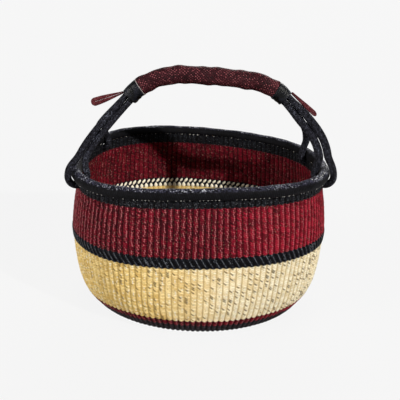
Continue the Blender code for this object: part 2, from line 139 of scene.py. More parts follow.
class Finish:
    """A material whose tree is written as sums of sockets."""

    def __init__(self, name):
        self.material = bpy.data.materials.new(name)
        self.material.use_nodes = True
        self.tree = self.material.node_tree
        self.shader = self.tree.nodes["Principled BSDF"]

    def node(self, kind, settings, inputs, outputs=(0,)):
        """Any node: settings first, then its inputs' values or links, then its outputs."""
        node = self.tree.nodes.new(kind)
        for setting, value in settings.items():
            setattr(node, setting, value)
        for key, value in inputs.items():
            if isinstance(value, Socket):
                self.tree.links.new(value.output, node.inputs[key])
            else:
                node.inputs[key].default_value = value
        found = [Socket(self, node.outputs[key]) for key in outputs]
        return found[0] if len(found) == 1 else found

    def maths(self, operation, *terms):
        return self.node("ShaderNodeMath", {"operation": operation}, dict(enumerate(terms)))

    def blend(self, share, first, second, how="MIX"):
        """Colour between first and second by share, or their product with how MULTIPLY."""
        settings = {"data_type": "RGBA", "blend_type": how}
        return self.node("ShaderNodeMix", settings, {0: share, 6: first, 7: second}, (2,))

    def point(self, x, y, z=0.0):
        return self.node("ShaderNodeCombineXYZ", {}, {0: x, 1: y, 2: z})

    def chance(self, x, y, z=0.0):
        """An even random number from 0 to 1 for each whole x, y and z."""
        return self.node("ShaderNodeTexWhiteNoise", {}, {0: self.point(x, y, z)})

    def noise(self, where, scale, detail=2.0):
        return self.node("ShaderNodeTexNoise", {}, {"Vector": where, "Scale": scale, "Detail": detail})

    def body(self):
        return self.node("ShaderNodeTexCoord", {}, {}, ("Object",))

    def layout(self, name):
        """The two coordinates of a piece's own layout of ribs and rows."""
        where = self.node("ShaderNodeUVMap", {"uv_map": name}, {})
        return self.node("ShaderNodeSeparateXYZ", {}, {0: where}, (0, 1))

    def set(self, **values):
        """Link or set the shader's own sockets, by name with spaces left out."""
        for key, value in values.items():
            socket = self.shader.inputs[key.replace("_", " ")]
            if isinstance(value, Socket):
                self.tree.links.new(value.output, socket)
            else:
                socket.default_value = value

    def bump(self, height, distance, strength=1.0):
        inputs = {"Strength": strength, "Distance": distance, "Height": height}
        self.set(Normal=self.node("ShaderNodeBump", {}, inputs))


def grained_finish(name, scale, detail, dark, light, gloss, gloss_share=0.0, relief=0.0, patches=None):
    """Plain straw or edge: a fine grain between two colours, with slow patches if they are given."""
    finish = Finish(name)
    grain = finish.noise(finish.body(), scale, detail)
    share = grain
    if patches is not None:
        share = grain * 0.5 + finish.noise(finish.body(), patches) * 0.5
    gloss = gloss + gloss_share * grain if gloss_share else gloss
    finish.set(Base_Color=finish.blend(share, dark, light), Roughness=gloss)
    if relief:
        finish.bump(grain, relief, 0.5)
    return finish


FLOOR_HALF_WIDTH = 30.0
FLOOR_SEEN_WHITE = 0.88
floor_finish = Finish("pale_floor")
floor_grain = floor_finish.noise(floor_finish.body(), 900.0)
floor_finish.set(
    Base_Color=floor_finish.blend(floor_grain, (0.27, 0.27, 0.27, 1), (0.29, 0.29, 0.29, 1)),
    Roughness=0.9,
    Specular_IOR_Level=0.1,
)
floor_ray = floor_finish.node("ShaderNodeLightPath", {}, {}, (
    "Is Camera Ray", "Is Glossy Ray", "Is Transmission Ray"))
floor_white = floor_finish.node("ShaderNodeEmission", {}, {"Color": (1, 1, 1, 1), "Strength": 1.0})
floor_seen = floor_finish.node("ShaderNodeMixShader", {}, {
    0: (floor_ray[0] + floor_ray[1] + floor_ray[2]) * FLOOR_SEEN_WHITE,
    1: Socket(floor_finish, floor_finish.shader.outputs[0]),
    2: floor_white,
})
floor_output = floor_finish.tree.nodes["Material Output"]
floor_finish.tree.links.new(floor_seen.output, floor_output.inputs["Surface"])
floor_mesh = bpy.data.meshes.new("floor")
w = FLOOR_HALF_WIDTH
floor_mesh.from_pydata([(-w, -w, 0), (w, -w, 0), (w, w, 0), (-w, w, 0)], [], [(0, 1, 2, 3)])
floor_mesh.materials.append(floor_finish.material)
floor = bpy.data.objects.new("floor", floor_mesh)
bpy.context.scene.collection.objects.link(floor)

world = bpy.data.worlds.new("daylight")
world.use_nodes = True
bpy.context.scene.world = world
sky = world.node_tree
sky_light = sky.nodes["Background"]
sky_light.inputs["Color"].default_value = (0.23, 0.235, 0.25, 1)
sky_seen = sky.nodes.new("ShaderNodeBackground")
sky_seen.inputs["Color"].default_value = (0.92, 0.92, 0.92, 1)
sky_ray = sky.nodes.new("ShaderNodeLightPath")
sky_mix = sky.nodes.new("ShaderNodeMixShader")
sky.links.new(sky_ray.outputs["Is Camera Ray"], sky_mix.inputs[0])
sky.links.new(sky_light.outputs[0], sky_mix.inputs[1])
sky.links.new(sky_seen.outputs[0], sky_mix.inputs[2])
sky.links.new(sky_mix.outputs[0], sky.nodes["World Output"].inputs["Surface"])


# The outer weft of the wall, band by band from the base up
# Dyed and plain elephant grass, twined tightly round standing stakes, so that each stake
# shows as a rib covered with small slanted stitches. Each colour is a band of its own.

RIBS = 140
BELLY_RADIUS = 0.1977
RIM_HEIGHT = 0.2109
SQUARENESS_SHARE = 0.0365
SADDLE_DROP = 0.0055
SADDLE_TURN = math.radians(28.7)
SETTLE_POWER = 0.70
STITCH_PITCH = 0.0026
STITCH_LEAN = -1.2
RIB_DEPTH = 0.0016
CREST_RISE = 0.0004
OUTER_BACK_DEPTH = 0.0021
SCALLOP = 0.0006
SCALLOP_FADE = 0.12
DRIFT_SHARE = 0.10
UNEVENNESS = 0.00035
BAND_INSET = 0.0001
SLOPE_SPAN = 0.0005
LEAST_RADIUS = 0.0002
RISE_HEIGHT = 0.03
CENTRE_HOLE = 0.0004
CENTRE_FADE = 0.012
SECOND_RIBS_START = 0.035
LAST_RIBS_START = 0.075

# Outer face of the wall, from the middle of the base to the roll, as (radius, height)
OUTLINE = np.array([
    (0.0, 0.0),
    (0.752 * BELLY_RADIUS, 0.0),
    (0.799 * BELLY_RADIUS, 0.012 * RIM_HEIGHT),
    (0.872 * BELLY_RADIUS, 0.085 * RIM_HEIGHT),
    (0.906 * BELLY_RADIUS, 0.130 * RIM_HEIGHT),
    (0.954 * BELLY_RADIUS, 0.265 * RIM_HEIGHT),
    (0.991 * BELLY_RADIUS, 0.522 * RIM_HEIGHT),
    (0.998 * BELLY_RADIUS, 0.596 * RIM_HEIGHT),
    (0.989 * BELLY_RADIUS, 0.740 * RIM_HEIGHT),
    (0.9645 * BELLY_RADIUS, 0.907 * RIM_HEIGHT),
    (0.961 * BELLY_RADIUS, 0.2025),
])
CENTRE, FOOT, CORNER, BASE_BLACK, BASE_BURGUNDY, NATURAL_MIDDLE = range(6)
NATURAL_TOP, TWINED_TOP, BURGUNDY_MIDDLE, BURGUNDY_TOP, WALL_TOP = range(6, 11)

draws = np.random.default_rng(41)
STITCH_SIZES = draws.random((RIBS, 256))


def smooth_outline(knots, values, at):
    """Curve through values at knots that never overshoots them.

    Each piece is a cubic whose end slopes are the harmonic mean of the slopes on either
    side, and level where those slopes change sign.
    """
    step = np.diff(knots)
    rise = np.diff(values) / step
    slope = np.concatenate([rise[:1], np.zeros(len(rise) - 1), rise[-1:]])
    first, last = 2 * step[1:] + step[:-1], step[1:] + 2 * step[:-1]
    same = rise[:-1] * rise[1:] > 0
    safe = [np.where(same, part, 1.0) for part in (rise[:-1], rise[1:])]
    slope[1:-1] = np.where(same, (first + last) / (first / safe[0] + last / safe[1]), 0.0)
    piece = np.clip(np.searchsorted(knots, at, side="right") - 1, 0, len(step) - 1)
    t = (at - knots[piece]) / step[piece]
    start, end = values[piece], values[piece + 1]
    lift = step[piece] * ((t - 2 * t ** 2 + t ** 3) * slope[piece] + (t ** 3 - t ** 2) * slope[piece + 1])
    return start + (3 * t ** 2 - 2 * t ** 3) * (end - start) + lift


chords = np.hypot(*np.diff(OUTLINE, axis=0).T)
KNOTS = np.concatenate([[0.0], np.cumsum(chords)])


def settled(radius, height, turn, share):
    """The bowl's plan is squared off a little and its rim sags in a saddle."""
    plan = radius * (1 - SQUARENESS_SHARE * share * np.cos(4 * turn))
    lift = -SADDLE_DROP * share * np.cos(2 * (turn - SADDLE_TURN))
    parts = np.broadcast_arrays(plan * np.cos(turn), plan * np.sin(turn), height + lift)
    return np.stack(parts, -1)


def wall_points(length, turn, depth):
    """Points of the wall, by length along its outline, turn and depth below the outer face."""
    length, turn, depth = np.broadcast_arrays(length, turn, depth)
    within = np.clip(length, 0.0, KNOTS[-1])
    beyond = length - within
    stations = (within, np.minimum(within + SLOPE_SPAN, KNOTS[-1]), np.maximum(within - SLOPE_SPAN, 0.0))
    (radius, radius_ahead, radius_behind), (height, height_ahead, height_behind) = (
        [smooth_outline(KNOTS, OUTLINE[:, axis], station) for station in stations] for axis in range(2))
    run_r, run_z = radius_ahead - radius_behind, height_ahead - height_behind
    run = np.hypot(run_r, run_z)
    rise = np.clip(height / RISE_HEIGHT, 0.0, 1.0)
    uneven = UNEVENNESS * rise * (
        np.sin(5 * turn + 1.3 + 20 * length) + 0.6 * np.sin(11 * turn - 31 * length))
    drift = DRIFT_SHARE * (math.tau / RIBS) * rise * (
        np.sin(3 * turn + 23 * length) + 0.8 * np.sin(7 * turn - 41 * length + 2.0))
    inward = depth + uneven
    out = np.maximum(radius - inward * run_z / run + beyond * run_r / run, LEAST_RADIUS)
    up = height + inward * run_r / run + beyond * run_z / run
    share = (np.maximum(height, 0.0) / RIM_HEIGHT) ** SETTLE_POWER
    return settled(out, up, turn + drift, share)


def weave(ribs, rows, lean=STITCH_LEAN):
    """Height of the weave from 0 in the valleys to 1 on the crests.

    Across a rib it is a round crest, and along it each stitch is a pillow that leans and
    is moved half a stitch on every other rib.
    """
    index = np.floor(ribs).astype(int)
    across = ribs - index - 0.5
    row = rows - lean * across + 0.5 * (index % 2)
    stitch = np.floor(row).astype(int)
    inside = row - stitch - 0.5
    crest = np.cos(math.pi * across) ** 0.8
    pillow = np.sqrt(np.clip(1 - np.abs(2 * inside) ** 3, 0, 1))
    size = STITCH_SIZES[index % RIBS, stitch % 256]
    return crest * (0.68 + 0.32 * pillow) * (0.80 + 0.20 * size)


def grid_faces(rows, columns, ring):
    """Quads of a grid whose columns close, and its rows too when ring is set."""
    row = np.arange(rows if ring else rows - 1)[:, None]
    column = np.arange(columns)[None, :]
    after, beside = (row + 1) % rows, (column + 1) % columns
    corners = (row * columns + column, row * columns + beside,
               after * columns + beside, after * columns + column)
    return np.stack(np.broadcast_arrays(*corners), -1).reshape(-1, 4)


def add_piece(name, points, finish, replaced, body="basket", low=None, high=None, ring=True):
    """One mesh from items x rows x columns of points, put in place of the replaced nodes.

    Columns always close. Rows close too when ring is set, or else end in a pole each.
    low and high are the layout at the two edges of each row of faces, columns + 1 wide.
    """
    items, rows, columns = points.shape[:3]
    quads = grid_faces(rows, columns, ring)
    count = rows * columns + (0 if ring else 2)
    shifts = np.arange(items)[:, None, None] * count
    vertices = points.reshape(items, rows * columns, 3)
    if not ring:
        poles = points[:, [0, -1]].mean(2)
        vertices = np.concatenate([vertices, poles], 1)
    vertices = vertices.reshape(-1, 3)
    faces = (quads[None] + shifts).reshape(-1, 4)
    a, b, c, d = (vertices[faces[:, corner]] for corner in range(4))
    volume = (np.cross(a, b) * c).sum() + (np.cross(a, c) * d).sum()
    caps = np.zeros((0, 3), int)
    if not ring:
        column = np.arange(columns)
        beside = (column + 1) % columns
        first = np.stack([beside, column, np.full(columns, rows * columns)], -1)
        start = (rows - 1) * columns
        last = np.stack([start + column, start + beside, np.full(columns, rows * columns + 1)], -1)
        caps = (np.concatenate([first, last])[None] + shifts).reshape(-1, 3)
    if low is not None:
        face_rows = rows if ring else rows - 1
        low = np.broadcast_to(low, (items, face_rows, columns + 1, 2))
        high = np.broadcast_to(high, (items, face_rows, columns + 1, 2))
        corner_layout = np.stack([low[:, :, :-1], low[:, :, 1:], high[:, :, 1:], high[:, :, :-1]], 3)
        corner_layout = corner_layout.reshape(-1, 4, 2)
    if volume < 0:
        faces, caps = faces[:, ::-1], caps[:, ::-1]
        if low is not None:
            corner_layout = corner_layout[:, ::-1]
    mesh = bpy.data.meshes.new(name)
    mesh.from_pydata(vertices, [], faces.tolist() + caps.tolist())
    if low is not None:
        layer = mesh.uv_layers.new(name="weave")
        flat = np.zeros((len(mesh.loops), 2), np.float32)
        flat[:faces.size] = corner_layout.reshape(-1, 2)
        if not ring:
            edge_first = np.stack([low[:, 0, 1:], low[:, 0, :-1], low[:, 0, :-1]], 2)
            edge_last = np.stack([high[:, -1, :-1], high[:, -1, 1:], high[:, -1, :-1]], 2)
            cap_layout = np.concatenate([edge_first, edge_last], 1).reshape(-1, 3, 2)
            if volume < 0:
                cap_layout = cap_layout[:, ::-1]
            flat[faces.size:] = cap_layout.reshape(-1, 2)
        layer.data.foreach_set("uv", flat.ravel())
    mesh.shade_smooth()
    mesh.set_sharp_from_angle(angle=math.radians(80))
    mesh.materials.append(finish.material)
    piece = bpy.data.objects.new(name, mesh)
    bpy.context.scene.collection.objects.link(piece)
    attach(piece, body)
    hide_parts(*replaced)
    return piece


def woven_finish(name, valley, shade, light, glint, glint_share, dash, dash_share,
                 speck, speck_share, lean=STITCH_LEAN, side=None, gloss=0.65, shine=0.08,
                 furrow=0.35, valley_start=0.35, glint_width=0.09, speck_level=0.66,
                 groove_mark=0.5):
    """Twined straw, its layout counting ribs in x and stitches in y.

    Painted shade in broad dark valleys between the ribs and in the grooves between stitches,
    a tone of its own for each stitch, fibres along each stitch, a thin broken pale line on the
    right of each crest as a painted highlight, and single dark stitches in clusters.
    side is a second shade and light that the straw turns to towards +X, where it starts and
    ends to do so, and how far the valleys take part: painted light on the wall's lit right
    side, on the pale straw partly also its own paler colour.
    """
    finish = Finish(name)
    ribs, rows = finish.layout("weave")
    index = ribs.floor()
    across = ribs - index - 0.5
    row = rows - lean * across + 0.5 * (index / 2).fraction() * 2
    stitch = row.floor()
    inside = row - stitch - 0.5
    tone = finish.chance(index, stitch)
    other = finish.chance(index, stitch, 7.0)
    third = finish.chance(index, stitch, 11.0)
    body = finish.body()
    fibre = finish.noise(finish.point(across * 2.0, inside * 5.0, index * 3.7 + stitch * 1.9), 1.3)
    rib_tone = finish.chance(index, 3.0, 2.0)
    slow = finish.noise(body, 14.0, 3.0)
    cluster = finish.noise(body, 38.0, 2.0)
    grooves = abs(inside * 2).between(0.35, 0.95)
    valleys = (abs(across * 2 - 0.08) + (grooves - 0.4) * 0.30).between(valley_start, 0.95)
    mix = tone * 0.75 + fibre * 0.45 + rib_tone * 0.2 + slow * 0.7 - 0.55
    if side is not None:
        x, _, _ = finish.node("ShaderNodeSeparateXYZ", {}, {0: body}, (0, 1, 2))
        # Painted light: towards +X, where the lamps light the wall most, the colours blend to the brighter
        # side ones; on the pale straw this is partly also its own paler colour.
        lit_side = (x + (slow - 0.5) * 0.12).between(side[2], side[3])
        valley = finish.blend(lit_side * side[4], valley, side[0])
        shade = finish.blend(lit_side, shade, side[0])
        light = finish.blend(lit_side, light, side[1])
    colour = finish.blend(mix.between(0.0, 1.0), shade, light)
    # Painted shade: the valleys between ribs and the grooves between stitches are blended to the dark valley
    # colour.
    colour = finish.blend(valleys * 0.95, colour, valley)
    colour = finish.blend(grooves * furrow * (1 - 0.6 * valleys), colour, valley)
    colour = finish.blend(grooves * other.between(0.55, 0.95) * groove_mark, colour, dash)
    # Painted highlight: a thin broken pale line on the right of each crest, the side the key lamp lights.
    offset = across - 0.14 + 0.26 * (third - 0.5) + 0.12 * inside
    highlight_stroke = 1 - abs(offset).between(glint_width * 0.5, glint_width)
    highlight_stroke = highlight_stroke * (1 - 0.8 * grooves)
    highlight_stroke = highlight_stroke * (other + fibre * 0.4).between(0.95 - glint_share, 1.45 - glint_share)
    colour = finish.blend(highlight_stroke, colour, glint)
    marks = 1 - abs(inside * 2 - 0.1).between(0.35, 0.65)
    marks = marks * (1 - abs(across * 2 + third - 0.6).between(0.35, 0.6))
    marks = marks * (third + (cluster - 0.5) * 0.9).between(1 - dash_share, 1.03 - dash_share)
    colour = finish.blend(marks, colour, dash)
    # Fine specks: the straw's own colour on the burgundy and pale straw, painted highlight sparkle on the
    # black.
    specks = finish.noise(body, 700.0, 1.0).between(speck_level, speck_level + 0.06)
    colour = finish.blend(specks * speck_share, colour, speck)
    finish.set(
        Base_Color=colour,
        Roughness=gloss + 0.2 * valleys + 0.1 * (1 - fibre),
        Specular_IOR_Level=shine,
    )
    finish.bump(fibre * 0.6 - grooves * 0.8, 0.0003, 0.8)
    return finish


def band_lengths(first, last, rows, beyond=0.0):
    """Lengths along the outline from one station to another and beyond, in even rows."""
    return np.linspace(KNOTS[first] + BAND_INSET, KNOTS[last] - BAND_INSET + beyond, rows)


def rib_columns(per_rib):
    """Places of a band's columns, counted in ribs, and the same as turns."""
    column = np.arange(RIBS * per_rib)[None] / per_rib
    return column, column / RIBS * math.tau


def add_band(name, finish, replaced, length, front, back_length, back, scale=1.0, slant=None):
    """Closed band from its woven face and its plain back, laid out in ribs and stitches.

    scale is how many ribs of the layout lie in one of the wall's, and slant how many the
    layout has moved round at each length of the face.
    """
    columns = front.shape[1]
    whole = np.concatenate([length, back_length])
    moved = 0 * whole if slant is None else np.interp(whole, length[:, 0], slant[:, 0])
    ribs = np.arange(columns + 1)[None] / (columns / RIBS) * scale
    low, high = (np.stack(np.broadcast_arrays(ribs + np.roll(moved, step, 0),
                                              np.roll(whole, step, 0) / STITCH_PITCH), -1)[None]
                 for step in (0, -1))
    points = np.concatenate([front, back])[None]
    return add_piece(name, points, finish, replaced, low=low, high=high)


def outer_depth(height, rise=CREST_RISE):
    """Depth of the outer weft, whose crests stand out from the outline by rise."""
    return RIB_DEPTH - (RIB_DEPTH + rise) * height


def outer_band(name, first, last, finish, replaced, per_rib, row_pitch):
    """Closed band of outer weft: the woven face, and a plain back against the stakes."""
    rows = int((KNOTS[last] - KNOTS[first]) / row_pitch) + 2
    length = band_lengths(first, last, rows)[:, None]
    column, turn = rib_columns(per_rib)
    height = weave(column, length / STITCH_PITCH)
    scallop = -SCALLOP * np.cos(math.tau * (column - 0.5))
    fade = np.clip(length / SCALLOP_FADE, 0, 1)
    front = wall_points(length + scallop * fade, turn, outer_depth(height))
    back_length = np.linspace(length[-1], length[0], 8)
    back = wall_points(back_length + scallop * fade[-1], turn, OUTER_BACK_DEPTH)
    return add_band(name, finish, replaced, length, front, back_length, back)


# VALLEY colours are painted shade for the valleys and stitch grooves, and GLINT colours painted highlights.
BLACK_VALLEY = (0.001, 0.001, 0.001, 1)
BLACK_SHADE = (0.002, 0.002, 0.003, 1)
BLACK_LIGHT = (0.008, 0.009, 0.012, 1)
BLACK_GLINT = (0.060, 0.063, 0.075, 1)
# Painted highlights: pale blue-grey sparkle specks on the black straw.
BLACK_SPARKLE = (0.200, 0.210, 0.230, 1)
BURGUNDY_VALLEY = (0.012, 0.001, 0.002, 1)
BURGUNDY_SHADE = (0.045, 0.001, 0.004, 1)
BURGUNDY_LIGHT = (0.200, 0.003, 0.015, 1)
# Painted light: the burgundy turns brighter towards the lit right side.
BURGUNDY_RIGHT = ((0.110, 0.003, 0.008, 1), (0.420, 0.014, 0.036, 1), 0.0, 0.17, 0.6)
BURGUNDY_GLINT = (0.480, 0.140, 0.150, 1)
BURGUNDY_SPECK = (0.220, 0.150, 0.100, 1)
NATURAL_VALLEY = (0.42, 0.27, 0.080, 1)
NATURAL_SHADE = (0.66, 0.43, 0.120, 1)
NATURAL_LIGHT = (0.93, 0.73, 0.325, 1)
# Paler towards the right: partly the straw's own colour, partly painted light on the lit side.
NATURAL_RIGHT = ((0.80, 0.69, 0.45, 1), (0.96, 0.92, 0.74, 1), -0.10, 0.13, 0.25)
NATURAL_GLINT = (0.88, 0.84, 0.68, 1)
NATURAL_DASH = (0.020, 0.015, 0.009, 1)
NATURAL_SPECK = (0.26, 0.17, 0.060, 1)

black_weave = woven_finish("black_weave", BLACK_VALLEY, BLACK_SHADE, BLACK_LIGHT, BLACK_GLINT,
                           0.10, BLACK_VALLEY, -1.0, BLACK_SPARKLE, 0.6)
base_weave = woven_finish("black_base_weave", BLACK_VALLEY, (0.005, 0.003, 0.004, 1),
                          (0.022, 0.015, 0.017, 1), BLACK_GLINT, 0.45, BLACK_VALLEY, -1.0,
                          BLACK_SPARKLE, 0.4)
burgundy_weave = woven_finish("burgundy_weave", BURGUNDY_VALLEY, BURGUNDY_SHADE, BURGUNDY_LIGHT,
                              BURGUNDY_GLINT, 0.75, BURGUNDY_VALLEY, 0.04, BURGUNDY_SPECK, 0.7,
                              side=BURGUNDY_RIGHT, furrow=0.65, valley_start=0.30, glint_width=0.065)
natural_weave = woven_finish("natural_weave", NATURAL_VALLEY, NATURAL_SHADE, NATURAL_LIGHT,
                             NATURAL_GLINT, 0.30, NATURAL_DASH, 0.20, NATURAL_SPECK, 0.6,
                             side=NATURAL_RIGHT, furrow=0.75, valley_start=0.50, glint_width=0.12,
                             speck_level=0.60)


def base_lengths(flat_rows, rising_rows):
    """Lengths from the middle of the base to the top of its dark band, and back again.

    Near the middle only every fourth and then every second rib has started, so the ribs
    there are as wide as those of the wall. Their share is given for each row too.
    """
    length = np.concatenate([
        np.linspace(CENTRE_HOLE, KNOTS[FOOT], flat_rows),
        np.linspace(KNOTS[FOOT], KNOTS[BASE_BLACK] - BAND_INSET, rising_rows)[1:],
    ])[:, None]
    back_length = np.concatenate([
        np.linspace(length[-1], KNOTS[FOOT], 8), np.linspace(KNOTS[FOOT], CENTRE_HOLE, 5)[1:, None]])
    started = np.where(length < SECOND_RIBS_START, 0.25, np.where(length < LAST_RIBS_START, 0.5, 1.0))
    return length, back_length, started, np.concatenate([started, np.ones_like(back_length)])


def base_band():
    """The round base that the basket stands on and the dark band turned up from it."""
    length, back_length, started, scale = base_lengths(105, 40)
    column, turn = rib_columns(4)
    settle = 1 - sum(np.exp(-((length - start) / 0.002) ** 2)
                     for start in (SECOND_RIBS_START, LAST_RIBS_START))
    height = weave(column * started, length / STITCH_PITCH)
    height = height * np.clip(settle, 0.3, 1) * np.clip(length / CENTRE_FADE, 0.2, 1)
    flat = np.clip((KNOTS[FOOT] + 0.010 - length) / 0.006, 0, 1)
    front = wall_points(length, turn, outer_depth(height, CREST_RISE * (1 - flat)))
    back = wall_points(back_length, turn, OUTER_BACK_DEPTH)
    return add_band("base_weft", base_weave, ["base_weft_outer"],
                    length, front, back_length, back, scale)


base_band()
outer_band("base_burgundy_weft", BASE_BLACK, BASE_BURGUNDY, burgundy_weave,
           ["base_burgundy_weft_outer"], 6, 0.00065)
outer_band("natural_weft", BASE_BURGUNDY, NATURAL_TOP, natural_weave,
           ["natural_weft_outer"], 5, 0.00068)
burgundy_outer = outer_band("burgundy_weft", TWINED_TOP, BURGUNDY_TOP, burgundy_weave,
                            ["burgundy_weft_outer"], 6, 0.00068)
black_row_outer = outer_band("black_weft", BURGUNDY_TOP, WALL_TOP, black_weave,
                             ["black_weft_outer"], 6, 0.00065)


# The twined course between the burgundy and the natural straw
# One course of thick black cords: each comes up from behind a stake, slants over the next
# one and goes in again, so that outside they stand as a row of leaning black cords.

CORD_SLANT = 1.05
CORD_RISE = 0.0012
CORD_PLIES = 3


def wound_finish(name, shade, light, spark, spark_share, highlight_line_share=0.0, fibres=5.0, cells=1.4,
                 gloss=0.6, valley=(0.001, 0.001, 0.001, 1), crown=None, specks_and_sheen=(0.02, 0.02, 0.03, 1)):
    """Cords or straws laid side by side: the layout counts cords in x and runs along them in y.

    Fine pale sparks, painted highlights, and paler specks lie on the cords, about y = crown
    only where one is given, as painted sheen on the lit top there; highlight_line_share adds
    a thin painted highlight line on each cord's crest, and the valleys take painted shade.
    """
    finish = Finish(name)
    cords, along = finish.layout("weave")
    index = cords.floor()
    across = cords - index - 0.5
    body = finish.body()
    cell = (along * cells + 5.0 * finish.chance(index, 2.0)).floor()
    tone = finish.chance(index, cell, 3.0)
    fibre = finish.noise(finish.point(across * fibres + index * 5.3, along * 0.7), 1.6, 3.0)
    slow = finish.noise(body, 45.0, 3.0)
    fine = finish.noise(body, 560.0, 1.0)
    valleys = abs(across * 2).between(0.45, 1.0)
    colour = finish.blend((fibre * 0.7 + tone * 0.5 + (slow - 0.5) * 0.8).between(0.0, 1.0), shade, light)
    # Painted shade between the cords.
    colour = finish.blend(valleys * 0.85, colour, valley)
    # Where crown is given, the specks and sparks lie only about it: painted sheen on the lit top of the roll.
    lit_band = 1.0 if crown is None else 1 - abs(along - crown).between(1.2, 3.2)
    powder = (fine + tone * 0.25).between(0.55, 0.75) * lit_band
    colour = finish.blend(powder, colour, specks_and_sheen)
    # Painted highlights: the pale sparks, and the thin line on each cord's crest.
    sparks = (fine + (slow - 0.5) * 0.6).between(0.74 - spark_share * 0.2, 0.79 - spark_share * 0.2) * lit_band
    line = (1 - abs(across - 0.12).between(0.03, 0.08)) * fibre.between(0.40, 0.60) * highlight_line_share
    colour = finish.blend(finish.maths("MAXIMUM", sparks, line), colour, spark)
    finish.set(
        Base_Color=colour,
        Roughness=gloss + 0.2 * valleys + 0.1 * (1 - fibre),
        Specular_IOR_Level=0.07,
    )
    finish.bump(fibre * 0.7 - valleys * 0.4, 0.00025, 0.7)
    return finish


# Painted highlights: a thin pale line along each cord and a few pale sparks.
black_cord = wound_finish("black_cord", (0.0005, 0.0005, 0.0010, 1), (0.0035, 0.0035, 0.0050, 1),
                          (0.130, 0.140, 0.160, 1), 0.10, highlight_line_share=0.9, fibres=4.0, cells=0.8,
                          specks_and_sheen=(0.004, 0.004, 0.006, 1))


def twined_course():
    """Black cords that lean to the left as they rise, three plies to a cord."""
    rows = int((KNOTS[TWINED_TOP] - KNOTS[NATURAL_TOP]) / 0.0006) + 2
    length = band_lengths(NATURAL_TOP, TWINED_TOP, rows)[:, None]
    share = (length - length[0]) / (length[-1] - length[0])
    column, turn = rib_columns(8)
    cords = column + CORD_SLANT * share
    across = cords - np.floor(cords) - 0.5
    bulge = np.sqrt(np.clip(1 - np.abs(2 * across) ** 2.2, 0, 1))
    plies = np.abs(np.cos(math.pi * (CORD_PLIES * across + 1.5 * share)))
    ends = np.clip(np.sin(math.pi * share) * 2.2, 0.0, 1.0) ** 0.7
    height = bulge * (0.80 + 0.20 * plies) * (0.45 + 0.55 * ends)
    scallop = -1.3 * SCALLOP * np.cos(math.tau * (cords - 0.5)) * np.where(share < 0.5, 1.0, 0.6)
    front = wall_points(length + scallop, turn, outer_depth(height, CORD_RISE))
    back_length = np.linspace(length[-1], length[0], 4)
    back = wall_points(back_length, turn, OUTER_BACK_DEPTH)
    return add_band("twined_course", black_cord, ["twined_course_outer"],
                    length, front, back_length, back, slant=CORD_SLANT * share)


twined_course()


# The stakes
# Standing stakes of bare straw between the two wefts, one in each rib. They start at the
# middle of the base, those between them further out, and end inside the rim roll.

STAKE_RADIUS = 0.00085
STAKE_DEPTH = 0.0031
STAKE_SIDES = 6
STAKE_RISE = 0.0040
TIE_TURNS = {
    "front": {"left": math.radians(205.8), "right": math.radians(-20.5)},
    "rear": {"left": math.radians(147.5), "right": math.radians(23.1)},
}
TIE_CLEARANCE = 0.0072

bare_straw = grained_finish("bare_straw", 700.0, 3.0, (0.38, 0.25, 0.11, 1), (0.66, 0.49, 0.25, 1),
                            0.55, 0.2, 0.0002)


def round_section(sides):
    angle = np.arange(sides) / sides * math.tau
    return np.cos(angle), np.sin(angle)


def add_stakes():
    """Thin round rods through the middle of the wall, spread apart where a rope goes through."""
    starts = np.where(np.arange(RIBS) % 4 == 0, 0.006, np.where(np.arange(RIBS) % 2 == 0, 0.036, 0.076))
    share = np.linspace(0, 1, 26)
    length = starts[:, None] + (KNOTS[WALL_TOP] + STAKE_RISE - starts[:, None]) * share
    turn = np.broadcast_to(((np.arange(RIBS) + 0.5) / RIBS * math.tau)[:, None], length.shape).copy()
    upper_wall = KNOTS[BURGUNDY_TOP] - KNOTS[BURGUNDY_MIDDLE]
    near_rim = np.clip((length - KNOTS[BURGUNDY_MIDDLE]) / upper_wall, 0, 1)
    for turns in TIE_TURNS.values():
        for tie in turns.values():
            off = (turn - tie + math.pi) % math.tau - math.pi
            least = TIE_CLEARANCE / BELLY_RADIUS * near_rim
            pushed = np.where(np.abs(off) < least, np.where(off < 0, -least, least), off)
            turn += pushed - off
    x, y = round_section(STAKE_SIDES)
    middle = wall_points(length, turn, STAKE_DEPTH)
    inner = wall_points(length, turn, STAKE_DEPTH + 0.001)
    inward = (inner - middle) / np.linalg.norm(inner - middle, axis=-1, keepdims=True)
    run = np.gradient(middle, axis=1)
    run /= np.linalg.norm(run, axis=-1, keepdims=True)
    side = np.cross(run, inward)
    section = x[:, None] * inward[:, :, None] + y[:, None] * side[:, :, None]
    points = middle[:, :, None] + STAKE_RADIUS * section
    return add_piece("stake_rods", points, bare_straw, ["stakes"], ring=False)


add_stakes()


# The inner weft of the wall
# The same straw seen from inside the bowl: ribs and stitches that lean the other way, a
# black floor, and at the twined course two rows of bare straw between black cords.

INNER_FACE_DEPTH = 0.0056
INNER_BACK_DEPTH = 0.0041
INNER_RIB_DEPTH = 0.0012
INNER_CREST_RISE = 0.0003
ROLL_SEAT_RISE = 0.0048


def inner_depth(height, rise=INNER_CREST_RISE):
    """Depth of the inner weft, whose crests stand out into the bowl by rise."""
    return INNER_FACE_DEPTH - INNER_RIB_DEPTH + (INNER_RIB_DEPTH + rise) * height


def inner_band(name, first, last, finish, replaced, per_rib, row_pitch, beyond=0.0):
    """Closed band of inner weft: plain against the stakes and woven towards the axis."""
    rows = int((KNOTS[last] - KNOTS[first] + beyond) / row_pitch) + 2
    length = band_lengths(first, last, rows, beyond)[:, None]
    column, turn = rib_columns(per_rib)
    height = weave(column, length / STITCH_PITCH, -STITCH_LEAN)
    scallop = -SCALLOP * np.cos(math.tau * (column - 0.5))
    front = wall_points(length + scallop, turn, inner_depth(height))
    back_length = np.linspace(length[-1], length[0], 8)
    back = wall_points(back_length + scallop, turn, INNER_BACK_DEPTH)
    return add_band(name, finish, replaced, length, front, back_length, back)


